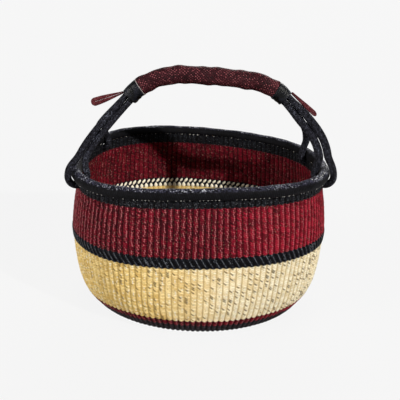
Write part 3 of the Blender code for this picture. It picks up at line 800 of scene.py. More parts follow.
black_inside = woven_finish("black_weave_inside", BLACK_VALLEY, BLACK_SHADE, BLACK_LIGHT,
                            BLACK_GLINT, 0.05, BLACK_VALLEY, -1.0, BLACK_SPARKLE, 0.4,
                            lean=-STITCH_LEAN)
base_inside = woven_finish("black_base_inside", BLACK_VALLEY, (0.005, 0.003, 0.004, 1),
                           (0.022, 0.015, 0.017, 1), BLACK_GLINT, 0.60, BLACK_VALLEY, -1.0,
                           BLACK_SPARKLE, 0.5, lean=-STITCH_LEAN)
BURGUNDY_INNER = (0.165, 0.003, 0.012, 1)
burgundy_inside = woven_finish("burgundy_weave_inside", BURGUNDY_VALLEY, BURGUNDY_SHADE,
                               BURGUNDY_INNER, BURGUNDY_GLINT, 0.10, BURGUNDY_VALLEY, 0.06,
                               BURGUNDY_SPECK, 0.9, lean=-STITCH_LEAN, furrow=0.50,
                               valley_start=0.45)
natural_inside = woven_finish("natural_weave_inside", NATURAL_VALLEY, NATURAL_SHADE, NATURAL_LIGHT,
                              NATURAL_GLINT, 0.20, NATURAL_DASH, 0.06, NATURAL_SPECK, 0.5,
                              lean=-STITCH_LEAN, furrow=0.45, valley_start=0.50)


def inner_base():
    """Floor of the bowl and the dark band turned up from it."""
    length, back_length, started, scale = base_lengths(100, 26)
    column, turn = rib_columns(3)
    height = weave(column * started, length / STITCH_PITCH, -STITCH_LEAN)
    height = height * np.clip(length / CENTRE_FADE, 0.2, 1)
    front = wall_points(length, turn, inner_depth(height))
    back = wall_points(back_length, turn, INNER_BACK_DEPTH)
    return add_band("base_weft_inside", base_inside, ["base_weft_inner"],
                    length, front, back_length, back, scale)


inner_base()
inner_band("base_burgundy_inside", BASE_BLACK, BASE_BURGUNDY, burgundy_inside,
           ["base_burgundy_weft_inner"], 4, 0.0009)
inner_band("natural_inside", BASE_BURGUNDY, NATURAL_TOP, natural_inside,
           ["natural_weft_inner"], 4, 0.0009)
burgundy_inner = inner_band("burgundy_inside", TWINED_TOP, BURGUNDY_TOP, burgundy_inside,
                            ["burgundy_weft_inner"], 5, 0.0008)
black_row_inner = inner_band("black_inside", BURGUNDY_TOP, WALL_TOP, black_inside,
                             ["black_weft_inner"], 4, 0.0009, ROLL_SEAT_RISE)

DROP_ROWS = (
    # height share in the course, half length, half width, lean, shift in ribs, fullest place
    (0.70, 0.0040, 0.0027, -0.55, 0.0, 0.50),
    (0.22, 0.0039, 0.0031, 0.0, 0.5, 0.36),
)
DROP_RISE = 0.0013


def inside_course():
    """Black cords crossed to a lattice, low between the drops of bare straw."""
    length = band_lengths(NATURAL_TOP, TWINED_TOP, 26)[:, None]
    share = (length - length[0]) / (length[-1] - length[0])
    column, turn = rib_columns(6)
    lattice = np.abs(np.sin(math.pi * (column + share))) * np.abs(np.sin(math.pi * (column - share)))
    front = wall_points(length, turn, inner_depth(lattice, 0.0))
    back_length = np.linspace(length[-1], length[0], 4)
    back = wall_points(back_length, turn, INNER_BACK_DEPTH)
    return add_band("twined_lattice_inside", black_cord, ["twined_course_inner"],
                    length, front, back_length, back, 2.0, -share)


inside_course()

cream_straw = grained_finish("cream_straw", 900.0, 3.0, (0.74, 0.63, 0.42, 1), (0.96, 0.93, 0.80, 1),
                             0.45, 0.2, 0.00015, patches=90.0)


def straw_drops():
    """Bare straw stitches: an upper row that leans and a lower row of upright drops."""
    around, along = 10, 7
    x, y = round_section(around)
    place = np.linspace(0.04, 0.96, along)
    items = []
    for height, half_length, half_width, lean, shift, fullest in DROP_ROWS:
        power = math.log(0.5) / math.log(fullest)
        width = np.sin(math.pi * place ** power) ** 0.8
        count = np.arange(RIBS)[:, None, None]
        size = 1 + 0.22 * (STITCH_SIZES[:, 60 if shift else 30][:, None, None] - 0.5)
        up = (2 * place - 1)[None, :, None] * half_length * size
        sideways = half_width * size * width[None, :, None] * x[None, None, :] + lean * up
        over = DROP_RISE * width[None, :, None] * np.clip(y, -0.35, 1)[None, None, :]
        length = KNOTS[NATURAL_TOP] + height * (KNOTS[TWINED_TOP] - KNOTS[NATURAL_TOP]) + up
        jitter = 0.10 * (STITCH_SIZES[:, 90 if shift else 120][:, None, None] - 0.5)
        turn = (count + shift + jitter) / RIBS * math.tau + sideways / BELLY_RADIUS
        items.append(wall_points(length, turn, INNER_FACE_DEPTH - 0.0003 + over))
    points = np.concatenate(items)
    return add_piece("straw_drops_inside", points, cream_straw,
                     ["twined_course_inner"], ring=False)


straw_drops()

# The rim
# The stake ends are bent over into a bundle, and black straw is wound tightly and a little
# slantwise over it. Light straw ends show along the roll's lower edge, outside and inside.

ROLL_TO_AXIS = 0.961 * BELLY_RADIUS + 0.0016
ROLL_RADIUS = 0.0081
ROLL_LINING_RADIUS = 0.0066
ROLL_NEAR_LIP = math.radians(-116.4)
ROLL_FAR_LIP = math.radians(206.9)
ROLL_WRAPS = 430
ROLL_WRAP_DEPTH = 0.0005
ROLL_LEAN = 7
BUNDLE_STRAWS = 7
BUNDLE_RADIUS = 0.0033
BUNDLE_STRAW_RADIUS = 0.0016

# Painted highlights: blue-grey sheen and pale sparks on the roll's lit top, about crown.
black_winding = wound_finish("black_winding", (0.001, 0.001, 0.001, 1), (0.006, 0.006, 0.008, 1),
                             (0.500, 0.510, 0.560, 1), 0.48, fibres=2.0, cells=1.1, crown=4.4,
                             specks_and_sheen=(0.042, 0.042, 0.068, 1))


def rim_roll():
    """Straw winding round the rim, open below where the wall comes up into it."""
    columns = ROLL_WRAPS * 4
    outside = np.linspace(ROLL_NEAR_LIP, ROLL_FAR_LIP, 34)
    inside = np.linspace(ROLL_FAR_LIP, ROLL_NEAR_LIP, 8)
    turn = np.arange(columns)[None] / columns * math.tau
    phase = turn / math.tau * ROLL_WRAPS + ROLL_LEAN * outside[:, None] / math.tau
    wrap = np.floor(phase).astype(int)
    across = phase - wrap - 0.5
    pillow = np.sqrt(np.clip(1 - np.abs(2 * across) ** 2.4, 0, 1))
    size = STITCH_SIZES[wrap % RIBS, (wrap // RIBS) % 256]
    swell = 0.00025 * (np.sin(17 * turn) + np.sin(41 * turn + 1.0) * 0.6)
    reach = ROLL_RADIUS + 0.0002 - ROLL_WRAP_DEPTH * (1 - pillow * (0.75 + 0.25 * size)) + swell
    reach = np.concatenate([reach, np.full((len(inside), columns), ROLL_LINING_RADIUS)])
    angle = np.concatenate([outside, inside])[:, None]
    points = settled(ROLL_TO_AXIS + reach * np.cos(angle), RIM_HEIGHT + reach * np.sin(angle), turn, 1.0)
    wraps = np.arange(columns + 1)[None] / 4 + ROLL_LEAN * angle / math.tau
    low = np.stack(np.broadcast_arrays(wraps, angle * ROLL_RADIUS / STITCH_PITCH), -1)
    add_piece("rim_roll", points[None], black_winding, ["rim_winding"],
              low=low[None], high=np.roll(low, -1, 0)[None])


def rim_straws():
    """Stake ends laid round inside the roll, twisted a little about one another."""
    steps = 260
    turn = np.arange(steps) / steps * math.tau
    start = np.arange(BUNDLE_STRAWS)[:, None] / BUNDLE_STRAWS * math.tau
    angle = start + 6 * turn
    x, y = round_section(6)
    reach_x = BUNDLE_RADIUS * np.cos(angle)[:, :, None] + BUNDLE_STRAW_RADIUS * x
    reach_y = BUNDLE_RADIUS * np.sin(angle)[:, :, None] + BUNDLE_STRAW_RADIUS * y
    points = settled(ROLL_TO_AXIS + reach_x, RIM_HEIGHT + reach_y, turn[None, :, None], 1.0)
    add_piece("rim_straws", points, bare_straw, ["rim_bundle"])


rim_roll()
rim_straws()


pale_ends = grained_finish("pale_straw_ends", 1200.0, 2.0, (0.60, 0.58, 0.52, 1),
                           (0.95, 0.94, 0.90, 1), 0.7)


def straw_ends():
    """Short light straw ends that stick through under the roll, more of them outside."""
    place = np.linspace(0.08, 0.92, 5)
    x, y = round_section(6)
    width = np.sin(math.pi * place) ** 0.6
    items = []
    for count, angle, kept in ((210, -1.02, 0.62), (120, math.pi + 0.62, 0.55), (150, 1.2, 0.18)):
        chosen = draws.random(count) < kept
        turn = ((np.arange(count) + 0.7 * draws.random(count)) / count * math.tau)[chosen]
        lean = (draws.random(count)[chosen] - 0.3) * 1.1
        size = 0.6 + 0.6 * draws.random(count)[chosen]
        tilt = angle + 0.14 * (draws.random(count)[chosen] - 0.5)
        up = (2 * place - 1)[None, :, None] * (0.0011 * size)[:, None, None]
        over = 0.00060 * size[:, None, None] * width[None, :, None] * x[None, None, :]
        lift = 0.00035 * width[None, :, None] * y[None, None, :]
        reach = ROLL_RADIUS + 0.00025 + lift
        at = tilt[:, None, None] + up / ROLL_RADIUS
        sideways = over + lean[:, None, None] * up
        points = settled(ROLL_TO_AXIS + reach * np.cos(at), RIM_HEIGHT + reach * np.sin(at),
                         turn[:, None, None] + sideways / ROLL_TO_AXIS, 1.0)
        items.append(points)
    add_piece("straw_ends", np.concatenate(items), pale_ends, ["rim_winding"],
              ring=False)


straw_ends()


# The handle's ropes
# Two closed rounds of grass rope wound over with black straw, one in front of the other.
# Each runs through the grip, parts near the rim, passes through the black row, under the roll
# and back up on its inner side, so that nothing but the weave holds the handle.

ROPE_RADIUS = 0.0047
ROPE_CLEARANCE = 0.0003
ROPE_TURNS = 460
ROPE_SIDES = 14
ROPE_TURN_DEPTH = 0.0004
ROPE_LEAN = 2
LEG_ROPE_RADII = {"left": 0.0050, "right": 0.0060}
TIE_ROPE_RADIUS = 0.0052
ROPE_SWELL_SHARE = 0.25
ROPE_PINCH_SHARE = 0.75
LOOP_REACH = ROLL_RADIUS + 0.0008 + TIE_ROPE_RADIUS
STRAND_OFFSET = ROPE_RADIUS + ROPE_CLEARANCE / 2
STRANDS_PART_SHARES = {"left": 0.66, "right": 0.78}
HANDLE_REACH = 0.1166
CROWN_HEIGHT = 0.3405
LEG_LEADS = {"left": (0.0490, 0.0035, 0.0546), "right": (0.0410, 0.0082, 0.0410)}
LEG_LANDING = {"left": 0.0280, "right": 0.0520}
HANDLE_LINE = np.array([
    (-0.955, 0.887), (-0.787, 0.943), (-0.552, 0.983), (-0.300, 1.000), (-0.050, 0.999),
    (0.210, 0.996), (0.460, 0.988), (0.715, 0.976), (0.933, 0.945), (1.083, 0.902),
])
ROPE_HOLE_RADIUS = TIE_ROPE_RADIUS + 0.0009

# Painted highlights: pale blue-grey sparks and specks on the black straw.
rope_straw = wound_finish("rope_straw", (0.001, 0.001, 0.002, 1), (0.008, 0.008, 0.011, 1),
                          (0.060, 0.065, 0.085, 1), 0.45, fibres=2.0, cells=1.3,
                          specks_and_sheen=(0.018, 0.018, 0.025, 1))


def arch_line(shares):
    """Middle line of the handle between the cuffs' feet: a Catmull-Rom curve."""
    points = HANDLE_LINE * (HANDLE_REACH, CROWN_HEIGHT)
    points = np.concatenate([2 * points[:1] - points[1:2], points, 2 * points[-1:] - points[-2:-1]])
    place = np.asarray(shares) * (len(points) - 3)
    span = np.minimum(place.astype(int), len(points) - 4)
    t = (place - span)[:, None]
    before, first, second, after = (points[span + step] for step in range(4))
    cubic = -before + 3 * first - 3 * second + after
    square = 2 * before - 5 * first + 4 * second - after
    flat = first + 0.5 * t * ((second - before) + t * (square + t * cubic))
    return np.stack([flat[:, 0], np.zeros(len(flat)), flat[:, 1]], -1)


def roll_middle(turn):
    return settled(ROLL_TO_AXIS, RIM_HEIGHT, turn, 1.0)


def unit(vectors):
    return vectors / np.linalg.norm(vectors, axis=-1, keepdims=True)


def eased(values, start, end):
    t = np.clip((values - start) / (end - start), 0, 1)
    return t * t * (3 - 2 * t)


def rope_path(place):
    """Closed middle line of one rope and its radius: out along its upper strand, back below."""
    leg_steps, arch_steps = 40, 110
    side = STRAND_OFFSET if place == "rear" else -STRAND_OFFSET
    arch = arch_line(np.linspace(0, 1, arch_steps + 1)) + (0.0, side, 0.0)
    t = np.linspace(0, 1, leg_steps + 1)[:, None]
    legs = {}
    for hand, start, outward in (("left", arch[0], -1), ("right", arch[-1], 1)):
        end = roll_middle(TIE_TURNS[place][hand])
        out, aside, down = LEG_LEADS[hand]
        lead = start + (outward * out, math.copysign(aside, end[1]), -down)
        landing = end + (0.0, 0.0, LEG_LANDING[hand])
        legs[hand] = ((1 - t) ** 3 * start + 3 * (1 - t) ** 2 * t * lead
                      + 3 * (1 - t) * t ** 2 * landing + t ** 3 * end)
    line = np.concatenate([legs["left"][:0:-1], arch, legs["right"][1:]])
    index = np.arange(len(line))
    run = unit(line[np.minimum(index + 1, len(line) - 1)] - line[np.maximum(index - 1, 0)])
    share = np.maximum(np.maximum(leg_steps - index, index - leg_steps - arch_steps), 0) / leg_steps
    on_left = index < leg_steps
    part_share = np.where(on_left, STRANDS_PART_SHARES["left"], STRANDS_PART_SHARES["right"])
    ease = eased(share, part_share, 1.0)[:, None]
    leg_radius = np.where(on_left, LEG_ROPE_RADII["left"], LEG_ROPE_RADII["right"])
    radius = ROPE_RADIUS + (leg_radius - ROPE_RADIUS) * eased(share, 0.0, ROPE_SWELL_SHARE)
    radius = radius + (TIE_ROPE_RADIUS - radius) * eased(share, ROPE_PINCH_SHARE, 1.0)
    radius = radius[:, None]
    turns = TIE_TURNS[place]
    turn = np.where(on_left, turns["left"], turns["right"])
    radial = np.stack([np.cos(turn), np.sin(turn), np.zeros(len(turn))], -1)
    above = unit(np.stack([-run[:, 2], np.zeros(len(run)), run[:, 0]], -1))
    out = above * (1 - ease) + radial * ease
    straight = out - (out * run).sum(-1, keepdims=True) * run
    out = unit(np.where((share < 1)[:, None], straight, out))
    spread = (radius + ROPE_CLEARANCE / 2) * (1 - ease) + LOOP_REACH * ease
    loops = {}
    angle = -np.linspace(0, math.pi, 26)[1:-1, None]
    for hand, tie in turns.items():
        way = np.array([math.cos(tie), math.sin(tie), 0.0])
        round_roll = way * np.cos(angle) + np.array([0.0, 0.0, 1.0]) * np.sin(angle)
        loop = roll_middle(tie) + LOOP_REACH * round_roll
        loops[hand] = np.concatenate([loop, np.full((len(loop), 1), TIE_ROPE_RADIUS)], 1)
    upper = np.concatenate([line + out * spread, radius], 1)
    lower = np.concatenate([line - out * spread, radius], 1)
    return np.concatenate([upper, loops["right"], lower[::-1], loops["left"][::-1]])


def even_closed(path, steps, axes):
    """Rows of a closed path at even lengths along it; the first axes columns are its place."""
    closed = np.concatenate([path, path[:1]])
    lengths = np.linalg.norm(np.diff(closed[:, :axes], axis=0), axis=1)
    walked = np.concatenate([[0.0], np.cumsum(lengths)])
    at = np.arange(steps) / steps * walked[-1]
    even = [np.interp(at, walked, closed[:, column]) for column in range(path.shape[1])]
    return np.stack(even, -1), walked[-1]


def carried_frames(path):
    """Two directions across a closed path that turn no more than they have to, and meet again."""
    run = unit(np.roll(path, -1, 0) - np.roll(path, 1, 0))
    first = np.zeros_like(path)
    held = np.cross(run[0], (0.0, 1.0, 0.0))
    for step in range(len(path)):
        held = held - held.dot(run[step]) * run[step]
        held /= np.linalg.norm(held)
        first[step] = held
    end = first[-1] - first[-1].dot(run[0]) * run[0]
    end /= np.linalg.norm(end)
    gap = math.atan2(np.cross(end, first[0]).dot(run[0]), end.dot(first[0]))
    second = np.cross(run, first)
    twist = (np.arange(len(path)) / len(path) * gap)[:, None]
    return first * np.cos(twist) + second * np.sin(twist), second * np.cos(twist) - first * np.sin(twist)


def add_rope(place):
    """One rope: a round cord closely wound with straw."""
    steps = ROPE_TURNS * 4
    even, _ = even_closed(rope_path(place), steps, 3)
    path, radius = even[:, :3], even[:, 3:]
    first, second = carried_frames(path)
    angle = np.arange(ROPE_SIDES) / ROPE_SIDES * math.tau
    phase = np.arange(steps)[:, None] / 4 + ROPE_LEAN * angle[None] / math.tau
    turn = np.floor(phase).astype(int)
    pillow = np.sqrt(np.clip(1 - np.abs(2 * (phase - turn) - 1) ** 2.4, 0, 1))
    size = STITCH_SIZES[turn % RIBS, (turn // RIBS) % 256]
    reach = radius - ROPE_TURN_DEPTH * (1 - pillow * (0.75 + 0.25 * size))
    points = path[:, None] + reach[:, :, None] * (
        np.cos(angle)[None, :, None] * first[:, None] + np.sin(angle)[None, :, None] * second[:, None])
    around = np.arange(ROPE_SIDES + 1)[None] / ROPE_SIDES
    edge = np.arange(steps + 1)[:, None] / 4 + ROPE_LEAN * around
    layout = np.stack(np.broadcast_arrays(edge, around * math.tau * ROPE_RADIUS / STITCH_PITCH), -1)
    add_piece(place + "_rope", points[None], rope_straw, [place + "_handle_rope"],
              low=layout[None, :-1], high=layout[None, 1:])


for place in ("front", "rear"):
    add_rope(place)


def rope_hole_cutter():
    """A ring round the roll at each of the four ties, as thick as the holes are wide."""
    items = []
    around = np.arange(40) / 40 * math.tau
    across = np.arange(16) / 16 * math.tau
    for turns in TIE_TURNS.values():
        for tie in turns.values():
            way = np.array([math.cos(tie), math.sin(tie), 0.0])
            aside = np.array([-math.sin(tie), math.cos(tie), 0.0])
            out = np.cos(around)[:, None] * way + np.sin(around)[:, None] * np.array([0.0, 0.0, 1.0])
            reach = LOOP_REACH + ROPE_HOLE_RADIUS * np.cos(across)
            items.append(roll_middle(tie) + out[:, None] * reach[None, :, None]
                         + aside * (ROPE_HOLE_RADIUS * np.sin(across))[None, :, None])
    points = np.array(items)
    quads = grid_faces(40, 16, True)
    faces = (quads[None] + np.arange(4)[:, None, None] * 640).reshape(-1, 4)
    mesh = bpy.data.meshes.new("rope_holes")
    mesh.from_pydata(points.reshape(-1, 3), [], faces.tolist())
    cutter = bpy.data.objects.new("rope_holes", mesh)
    bpy.context.scene.collection.objects.link(cutter)
    return cutter


def cut_rope_holes(pieces):
    """Opens the wall where the ropes go through it."""
    cutter = rope_hole_cutter()
    for piece in pieces:
        modifier = piece.modifiers.new("rope_holes", "BOOLEAN")
        modifier.operation = "DIFFERENCE"
        modifier.solver = "EXACT"
        modifier.object = cutter
    bpy.context.view_layer.update()
    graph = bpy.context.evaluated_depsgraph_get()
    for piece in pieces:
        opened = bpy.data.meshes.new_from_object(piece.evaluated_get(graph))
        piece.modifiers.clear()
        piece.data = opened
    bpy.data.objects.remove(cutter, do_unlink=True)


cut_rope_holes([burgundy_outer, black_row_outer, burgundy_inner, black_row_inner])


# The grip
# A sleeve of burgundy straw plaited slantwise round the four strands where the hand goes,
# a little lumpy, with pale flecks where the dye has worn off the crossings.

BORE_HALF = 2 * ROPE_RADIUS + ROPE_CLEARANCE / 2 + 0.0005
BORE_CORNER = (math.sqrt(2) - 1) * STRAND_OFFSET + ROPE_CLEARANCE
SLEEVE_CORNER = 0.0009
GRIP_DEPTH = 0.0030
GRIP_PLAITS = 20
GRIP_CELL_LENGTH = 0.0046
GRIP_PLAIT_DEPTH = 0.0007
GRIP_LUMP = 0.00045
CUFF_INSET = 0.0040
CUFF_LENGTHS = {"left": 0.0233, "right": 0.0195}
SLEEVE_GAP = 0.0003
PLAIT_SHADE = (0.003, 0.001, 0.001, 1)
PLAIT_LIGHT = (0.040, 0.003, 0.007, 1)
PLAIT_FLECK = (0.300, 0.080, 0.090, 1)
PLAIT_VALLEY = (0.004, 0.002, 0.002, 1)


def plaited_finish(name, shade, light, fleck, fleck_share, valley, two_ways=True):
    """Plaited straw: the layout counts one way of plaits in x and the other in y."""
    finish = Finish(name)
    a, b = finish.layout("weave")
    cell_a, cell_b = a.floor(), b.floor()
    in_a, in_b = a - cell_a - 0.5, b - cell_b - 0.5
    if two_ways:
        on_top = (((cell_a + cell_b) / 3 + 0.02).fraction()).between(0.30, 0.32)
    else:
        on_top = finish.maths("ADD", 1.0, 0.0)
    across = in_b + on_top * (in_a - in_b)
    along = in_a + on_top * (in_b - in_a)
    tone = finish.chance(cell_a, cell_b, 1.0)
    other = finish.chance(cell_a, cell_b, 5.0)
    fibre = finish.noise(finish.point(across * 5, along * 0.8, cell_a * 3.3 + cell_b * 1.7), 1.6, 2.0)
    slow = finish.noise(finish.body(), 55.0, 3.0)
    colour = finish.blend(fibre * 0.5 + tone * 0.5 + (slow - 0.5) * 0.8, shade, light)
    streak = (1 - abs(across * 2).between(0.10, 0.45)) * (1 - abs(along * 2).between(0.2, 0.7))
    marks = streak * (other + (slow - 0.5) * 0.8).between(1 - fleck_share, 1.2 - fleck_share)
    powder = (finish.noise(finish.body(), 900.0, 1.0) + (slow - 0.5) * 0.3).between(0.58, 0.70)
    colour = finish.blend(finish.maths("MAXIMUM", marks, powder * 0.35), colour, fleck)
    # Painted shade: the edges of each plait, where it goes under the next, take the dark valley colour.
    edges = abs(across * 2).between(0.6, 1.0)
    finish.set(
        Base_Color=finish.blend(edges * 0.75, colour, valley),
        Roughness=0.65 + 0.2 * edges,
        Specular_IOR_Level=0.12,
    )
    finish.bump(fibre * 0.5 - edges * 0.6, 0.00025, 0.7)
    return finish


def sleeve_line(start, end, rows):
    """Middle points, directions and shares of the arch between two lengths along it."""
    dense = arch_line(np.linspace(0, 1, 600))
    walked = np.concatenate([[0.0], np.cumsum(np.linalg.norm(np.diff(dense, axis=0), axis=1))])
    if end <= 0:
        end = walked[-1] + end
    if start < 0:
        start = walked[-1] + start
    at = np.linspace(start, end, rows)
    middle = np.stack([np.interp(at, walked, dense[:, axis]) for axis in range(3)], -1)
    run = unit(np.gradient(middle, axis=0))
    above = np.stack([-run[:, 2], np.zeros(rows), run[:, 0]], -1)
    return middle, above, at - start


def sleeve_points(middle, above, angle, reach):
    across = np.array([0.0, 1.0, 0.0])
    way = above[:, None] * np.cos(angle)[..., None] + across * np.sin(angle)[..., None]
    return middle[:, None] + way * reach[..., None]


def sleeve_reach(half, corner, angle):
    """Rounded square: half its width at the flats and a little more at the corners."""
    return half + corner * np.sin(2 * angle) ** 2


plaited_burgundy = plaited_finish("plaited_burgundy", PLAIT_SHADE, PLAIT_LIGHT, PLAIT_FLECK, 0.50,
                                  PLAIT_VALLEY)


def plait_height(a, b, two_ways=True):
    """Height from 0 to 1 of plaits that cross, two over and one under."""
    cell_a, cell_b = np.floor(a), np.floor(b)
    in_a, in_b = a - cell_a - 0.5, b - cell_b - 0.5
    on_top = (cell_a + cell_b) % 3 != 0 if two_ways else np.ones(np.shape(a), bool)
    across, along = np.where(on_top, in_a, in_b), np.where(on_top, in_b, in_a)
    return np.sqrt(np.clip(1 - np.abs(2 * across) ** 2.2, 0, 1)) * (0.75 + 0.25 * np.cos(math.pi * along))


def add_grip():
    rows, sides, lining_rows = 250, 140, 30
    start = CUFF_INSET + CUFF_LENGTHS["left"] + SLEEVE_GAP
    end = -(CUFF_INSET + CUFF_LENGTHS["right"] + SLEEVE_GAP)
    middle, above, along = sleeve_line(start, end, rows)
    angle = np.arange(sides)[None] / sides * math.tau
    cells = along[:, None] / GRIP_CELL_LENGTH
    a = cells + angle / math.tau * GRIP_PLAITS
    b = cells - angle / math.tau * GRIP_PLAITS
    lumps = GRIP_LUMP * (np.sin(along[:, None] / 0.0047 + 1.1 * np.cos(angle))
                         + 0.8 * np.sin(along[:, None] / 0.0086 + 2 * angle + 1.0)
                         + 0.5 * np.sin(along[:, None] / 0.0029 - angle))
    reach = sleeve_reach(BORE_HALF + GRIP_DEPTH, SLEEVE_CORNER, angle) + lumps
    reach = reach + 0.0002 - GRIP_PLAIT_DEPTH * (1 - plait_height(a, b))
    outer = sleeve_points(middle, above, np.broadcast_to(angle, reach.shape), reach)
    middle_in, above_in, along_in = sleeve_line(start, end, lining_rows)
    bore = np.broadcast_to(sleeve_reach(BORE_HALF, BORE_CORNER, angle), (lining_rows, sides))
    inner = sleeve_points(middle_in, above_in, np.broadcast_to(angle, bore.shape), bore)[::-1]
    whole = np.concatenate([cells[:, 0], along_in[::-1] / GRIP_CELL_LENGTH])[:, None]
    around = np.arange(sides + 1)[None] / sides * GRIP_PLAITS
    low = np.stack([whole + around, whole - around], -1)
    add_piece("grip_plait", np.concatenate([outer, inner])[None], plaited_burgundy,
              ["grip_wrap"], low=low[None], high=np.roll(low, -1, 0)[None])


add_grip()


# The leather cuffs
# A strip of black leather is sewn tightly round each end of the grip, its edge folded in;
# on the left one a pale raw edge shows where it lies on the plait.

CUFF_DEPTH = 0.0036
CUFF_FOOT_DEPTH = 0.0028
CUFF_ROUND = 0.0010
CUFF_CREASE = 0.00022
EDGE_LINE_RADIUS = 0.00045
EDGE_LINE_INSET = 0.0003
LEATHER_DARK = (0.001, 0.001, 0.001, 1)
LEATHER_WORN_SHEEN = (0.010, 0.011, 0.018, 1)

leather = Finish("black_leather")
leather_body = leather.body()
leather_grain = leather.noise(leather_body, 1500.0, 3.0)
leather_cells = leather.node("ShaderNodeTexVoronoi", {"feature": "DISTANCE_TO_EDGE"},
                             {"Vector": leather_body, "Scale": 900.0})
leather_wear_and_sheen = leather.noise(leather_body, 120.0, 4.0)
leather.set(
    # Random patches of lighter blue-black: partly wear, partly a painted bluish sheen.
    Base_Color=leather.blend(leather_wear_and_sheen.between(0.35, 0.75), LEATHER_DARK, LEATHER_WORN_SHEEN),
    Roughness=0.22 + 0.24 * leather_wear_and_sheen,
    Specular_IOR_Level=0.20,
)
leather.bump(leather_cells.between(0.0, 0.25) + leather_grain * 0.3, 0.0002, 0.5)

raw_edge = grained_finish("raw_leather_edge", 2500.0, 2.0, (0.20, 0.18, 0.17, 1),
                          (0.42, 0.39, 0.37, 1), 0.8)


def add_cuff(hand):
    """Leather sleeve, thicker at the grip, with rounded rims and shallow creases."""
    rows, sides, lining_rows = 40, 96, 8
    if hand == "left":
        start, end = CUFF_INSET, CUFF_INSET + CUFF_LENGTHS["left"]
    else:
        start, end = -(CUFF_INSET + CUFF_LENGTHS["right"]), -CUFF_INSET
    middle, above, along = sleeve_line(start, end, rows)
    whole_length = along[-1]
    share = along / whole_length if hand == "left" else 1 - along / whole_length
    angle = np.arange(sides)[None] / sides * math.tau
    depth = CUFF_FOOT_DEPTH + (CUFF_DEPTH - CUFF_FOOT_DEPTH) * share[:, None]
    edge = np.minimum(along, whole_length - along)[:, None]
    rounding = CUFF_ROUND * (1 - np.sqrt(np.clip(1 - (1 - np.clip(edge / CUFF_ROUND, 0, 1)) ** 2, 0, 1)))
    creases = CUFF_CREASE * (np.sin(along[:, None] / 0.0013 + 1.5 * np.sin(angle + 0.6))
                             * np.clip(np.sin(angle * 1.5) ** 2, 0, 1)
                             + np.sin(along[:, None] / 0.0040 + 2 * angle))
    seam = -0.0004 * np.exp(-(((angle - 2.4) / 0.05) ** 2)) + 0.0003 * np.exp(-(((angle - 2.55) / 0.06) ** 2))
    reach = sleeve_reach(BORE_HALF + depth, SLEEVE_CORNER, angle) - rounding + creases + seam
    outer = sleeve_points(middle, above, np.broadcast_to(angle, reach.shape), reach)
    middle_in, above_in, _ = sleeve_line(start, end, lining_rows)
    bore = np.broadcast_to(sleeve_reach(BORE_HALF, BORE_CORNER, angle), (lining_rows, sides))
    inner = sleeve_points(middle_in, above_in, np.broadcast_to(angle, bore.shape), bore)[::-1]
    add_piece(hand + "_leather_cuff", np.concatenate([outer, inner])[None], leather,
              [hand + "_cuff"])


for hand in ("left", "right"):
    add_cuff(hand)


def add_edge_line():
    """The left cuff's raw edge, a thin line round its rim at the grip."""
    sides, section = 120, 8
    end = CUFF_INSET + CUFF_LENGTHS["left"]
    middle, above, _ = sleeve_line(end - 0.001, end, 3)
    angle = np.arange(sides) / sides * math.tau
    x, y = round_section(section)
    reach = sleeve_reach(BORE_HALF + CUFF_DEPTH, SLEEVE_CORNER, angle) - 0.0001
    along = unit(middle[2] - middle[0])
    across = np.array([0.0, 1.0, 0.0])
    way = above[1] * np.cos(angle)[:, None] + across * np.sin(angle)[:, None]
    reach = reach[:, None] + EDGE_LINE_RADIUS * x[None]
    points = (middle[2] - EDGE_LINE_INSET * along + way[:, None] * reach[:, :, None]
              + along * (EDGE_LINE_RADIUS * y)[None, :, None])
    add_piece("left_cuff_edge", points[None], raw_edge, ["left_cuff"])


add_edge_line()


# The tags
# The end of a flat burgundy plait is folded back on itself to a long narrow loop and caught
# under each cuff, where it can swing up and down a little.

TAG_LENGTH = 0.0500
TAG_HALF_WIDTH = 0.0065
TAG_ROOT_HALF = 0.0021
TAG_HALF_DEPTH = 0.00164
TAG_SLIT_HALF = -0.00015
TAG_SLIT_START = 0.42
TAG_SWELL_POWER = 1.3
TAG_PLAIT_PITCH = 0.0034
TAG_SIDES = 20
TAG_HEELS = {"left": (-0.11882, 0.0, 0.31122), "right": (0.13358, 0.0, 0.31743)}
TAG_SLOPES = {"left": math.radians(-20), "right": math.radians(40)}
TAG_ROLL = math.radians(28)

tag_plait = plaited_finish("tag_plait", (0.020, 0.002, 0.003, 1), (0.125, 0.015, 0.022, 1),
                           (0.34, 0.14, 0.13, 1), 0.25, (0.006, 0.001, 0.002, 1), two_ways=False)


def tag_line():
    """Middle line of the folded plait as x and y, with its half width at each point."""
    shoulder = TAG_LENGTH - TAG_HALF_WIDTH
    share = np.linspace(0, 1, 90)
    half = TAG_ROOT_HALF + (TAG_HALF_WIDTH - TAG_ROOT_HALF) * np.sin(math.pi / 2 * share) ** TAG_SWELL_POWER
    gap = TAG_SLIT_HALF * np.clip((share - TAG_SLIT_START) / 0.2, 0, 1)
    middle, width = (half + gap) / 2, (half - gap) / 2
    tip_angle = np.linspace(0, math.pi, 32)[1:-1]
    tip_x = shoulder + middle[-1] * np.sin(tip_angle)
    tip_y = middle[-1] * np.cos(tip_angle)
    heel_angle = np.linspace(0, math.pi, 12)[1:-1]
    heel_x = -middle[0] * np.sin(heel_angle)
    heel_y = -middle[0] * np.cos(heel_angle)
    x = np.concatenate([shoulder * share, tip_x, shoulder * share[::-1], heel_x])
    y = np.concatenate([middle, tip_y, -middle[::-1], heel_y])
    wide = np.concatenate([width, np.full(30, width[-1]), width[::-1], np.full(10, width[0])])
    return np.stack([x, y, wide], -1)


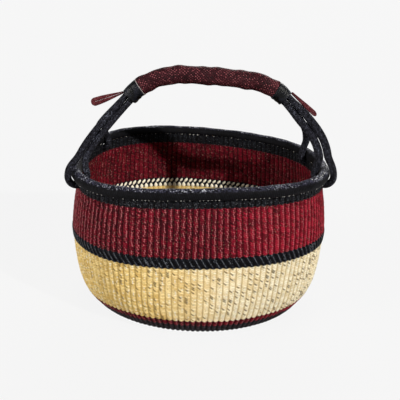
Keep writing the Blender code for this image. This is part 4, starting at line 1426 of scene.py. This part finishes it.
def add_tag(hand):
    """Flat plait swept round the loop, with a herringbone of straws on its faces."""
    steps = 300
    line, whole_length = even_closed(tag_line(), steps, 2)
    run = unit(np.roll(line[:, :2], -1, 0) - np.roll(line[:, :2], 1, 0))
    aside = np.stack([-run[:, 1], run[:, 0]], -1)
    angle = np.arange(TAG_SIDES) / TAG_SIDES * math.tau
    flat = np.sign(np.cos(angle)) * np.abs(np.cos(angle)) ** 0.8
    thick = np.sin(angle)
    along = np.arange(steps)[:, None] / steps * round(whole_length / TAG_PLAIT_PITCH)
    chevron = along + np.abs(flat)[None] * 1.2
    side = np.where(np.cos(angle) > 0, 0.5, 0.0)[None]
    height = plait_height(chevron + side, np.zeros_like(chevron), two_ways=False)
    groove = 0.00035 * np.exp(-((flat / 0.16) ** 2))[None]
    sink = 0.0004 * (1 - height) + groove
    across = line[:, 2:3] * flat[None] * (0.95 - 0.05 * (1 - height))
    up = TAG_HALF_DEPTH * thick[None] - sink * np.sign(thick)[None] * (np.abs(thick) > 0.3)[None]
    flat_x = line[:, 0:1] + aside[:, 0:1] * across
    flat_y = line[:, 1:2] + aside[:, 1:2] * across
    if hand == "left":
        length_way = np.array([-math.cos(TAG_SLOPES[hand]), 0.0, math.sin(TAG_SLOPES[hand])])
        width_way = np.array([math.sin(TAG_SLOPES[hand]), 0.0, math.cos(TAG_SLOPES[hand])])
        depth_way = np.array([0.0, 1.0, 0.0])
    else:
        length_way = np.array([math.cos(TAG_SLOPES[hand]), 0.0, -math.sin(TAG_SLOPES[hand])])
        aside = np.array([0.0, 1.0, 0.0])
        above = np.array([math.sin(TAG_SLOPES[hand]), 0.0, math.cos(TAG_SLOPES[hand])])
        width_way = math.cos(TAG_ROLL) * aside + math.sin(TAG_ROLL) * above
        depth_way = math.cos(TAG_ROLL) * above - math.sin(TAG_ROLL) * aside
    points = (np.array(TAG_HEELS[hand]) + flat_x[..., None] * length_way + flat_y[..., None] * width_way
              + up[..., None] * depth_way)
    edge = np.arange(steps + 1)[:, None] / steps * round(whole_length / TAG_PLAIT_PITCH)
    shape = np.concatenate([flat, flat[:1]])[None]
    half = np.concatenate([side, side[:, :1]], 1)
    layout = np.stack(np.broadcast_arrays(edge + np.abs(shape) * 1.2 + half, shape * 2.0), -1)
    add_piece(hand + "_tag_plait", points[None], tag_plait, [hand + "_tag"],
              body=hand + "_tag", low=layout[None, :-1], high=layout[None, 1:])


for hand in ("left", "right"):
    add_tag(hand)
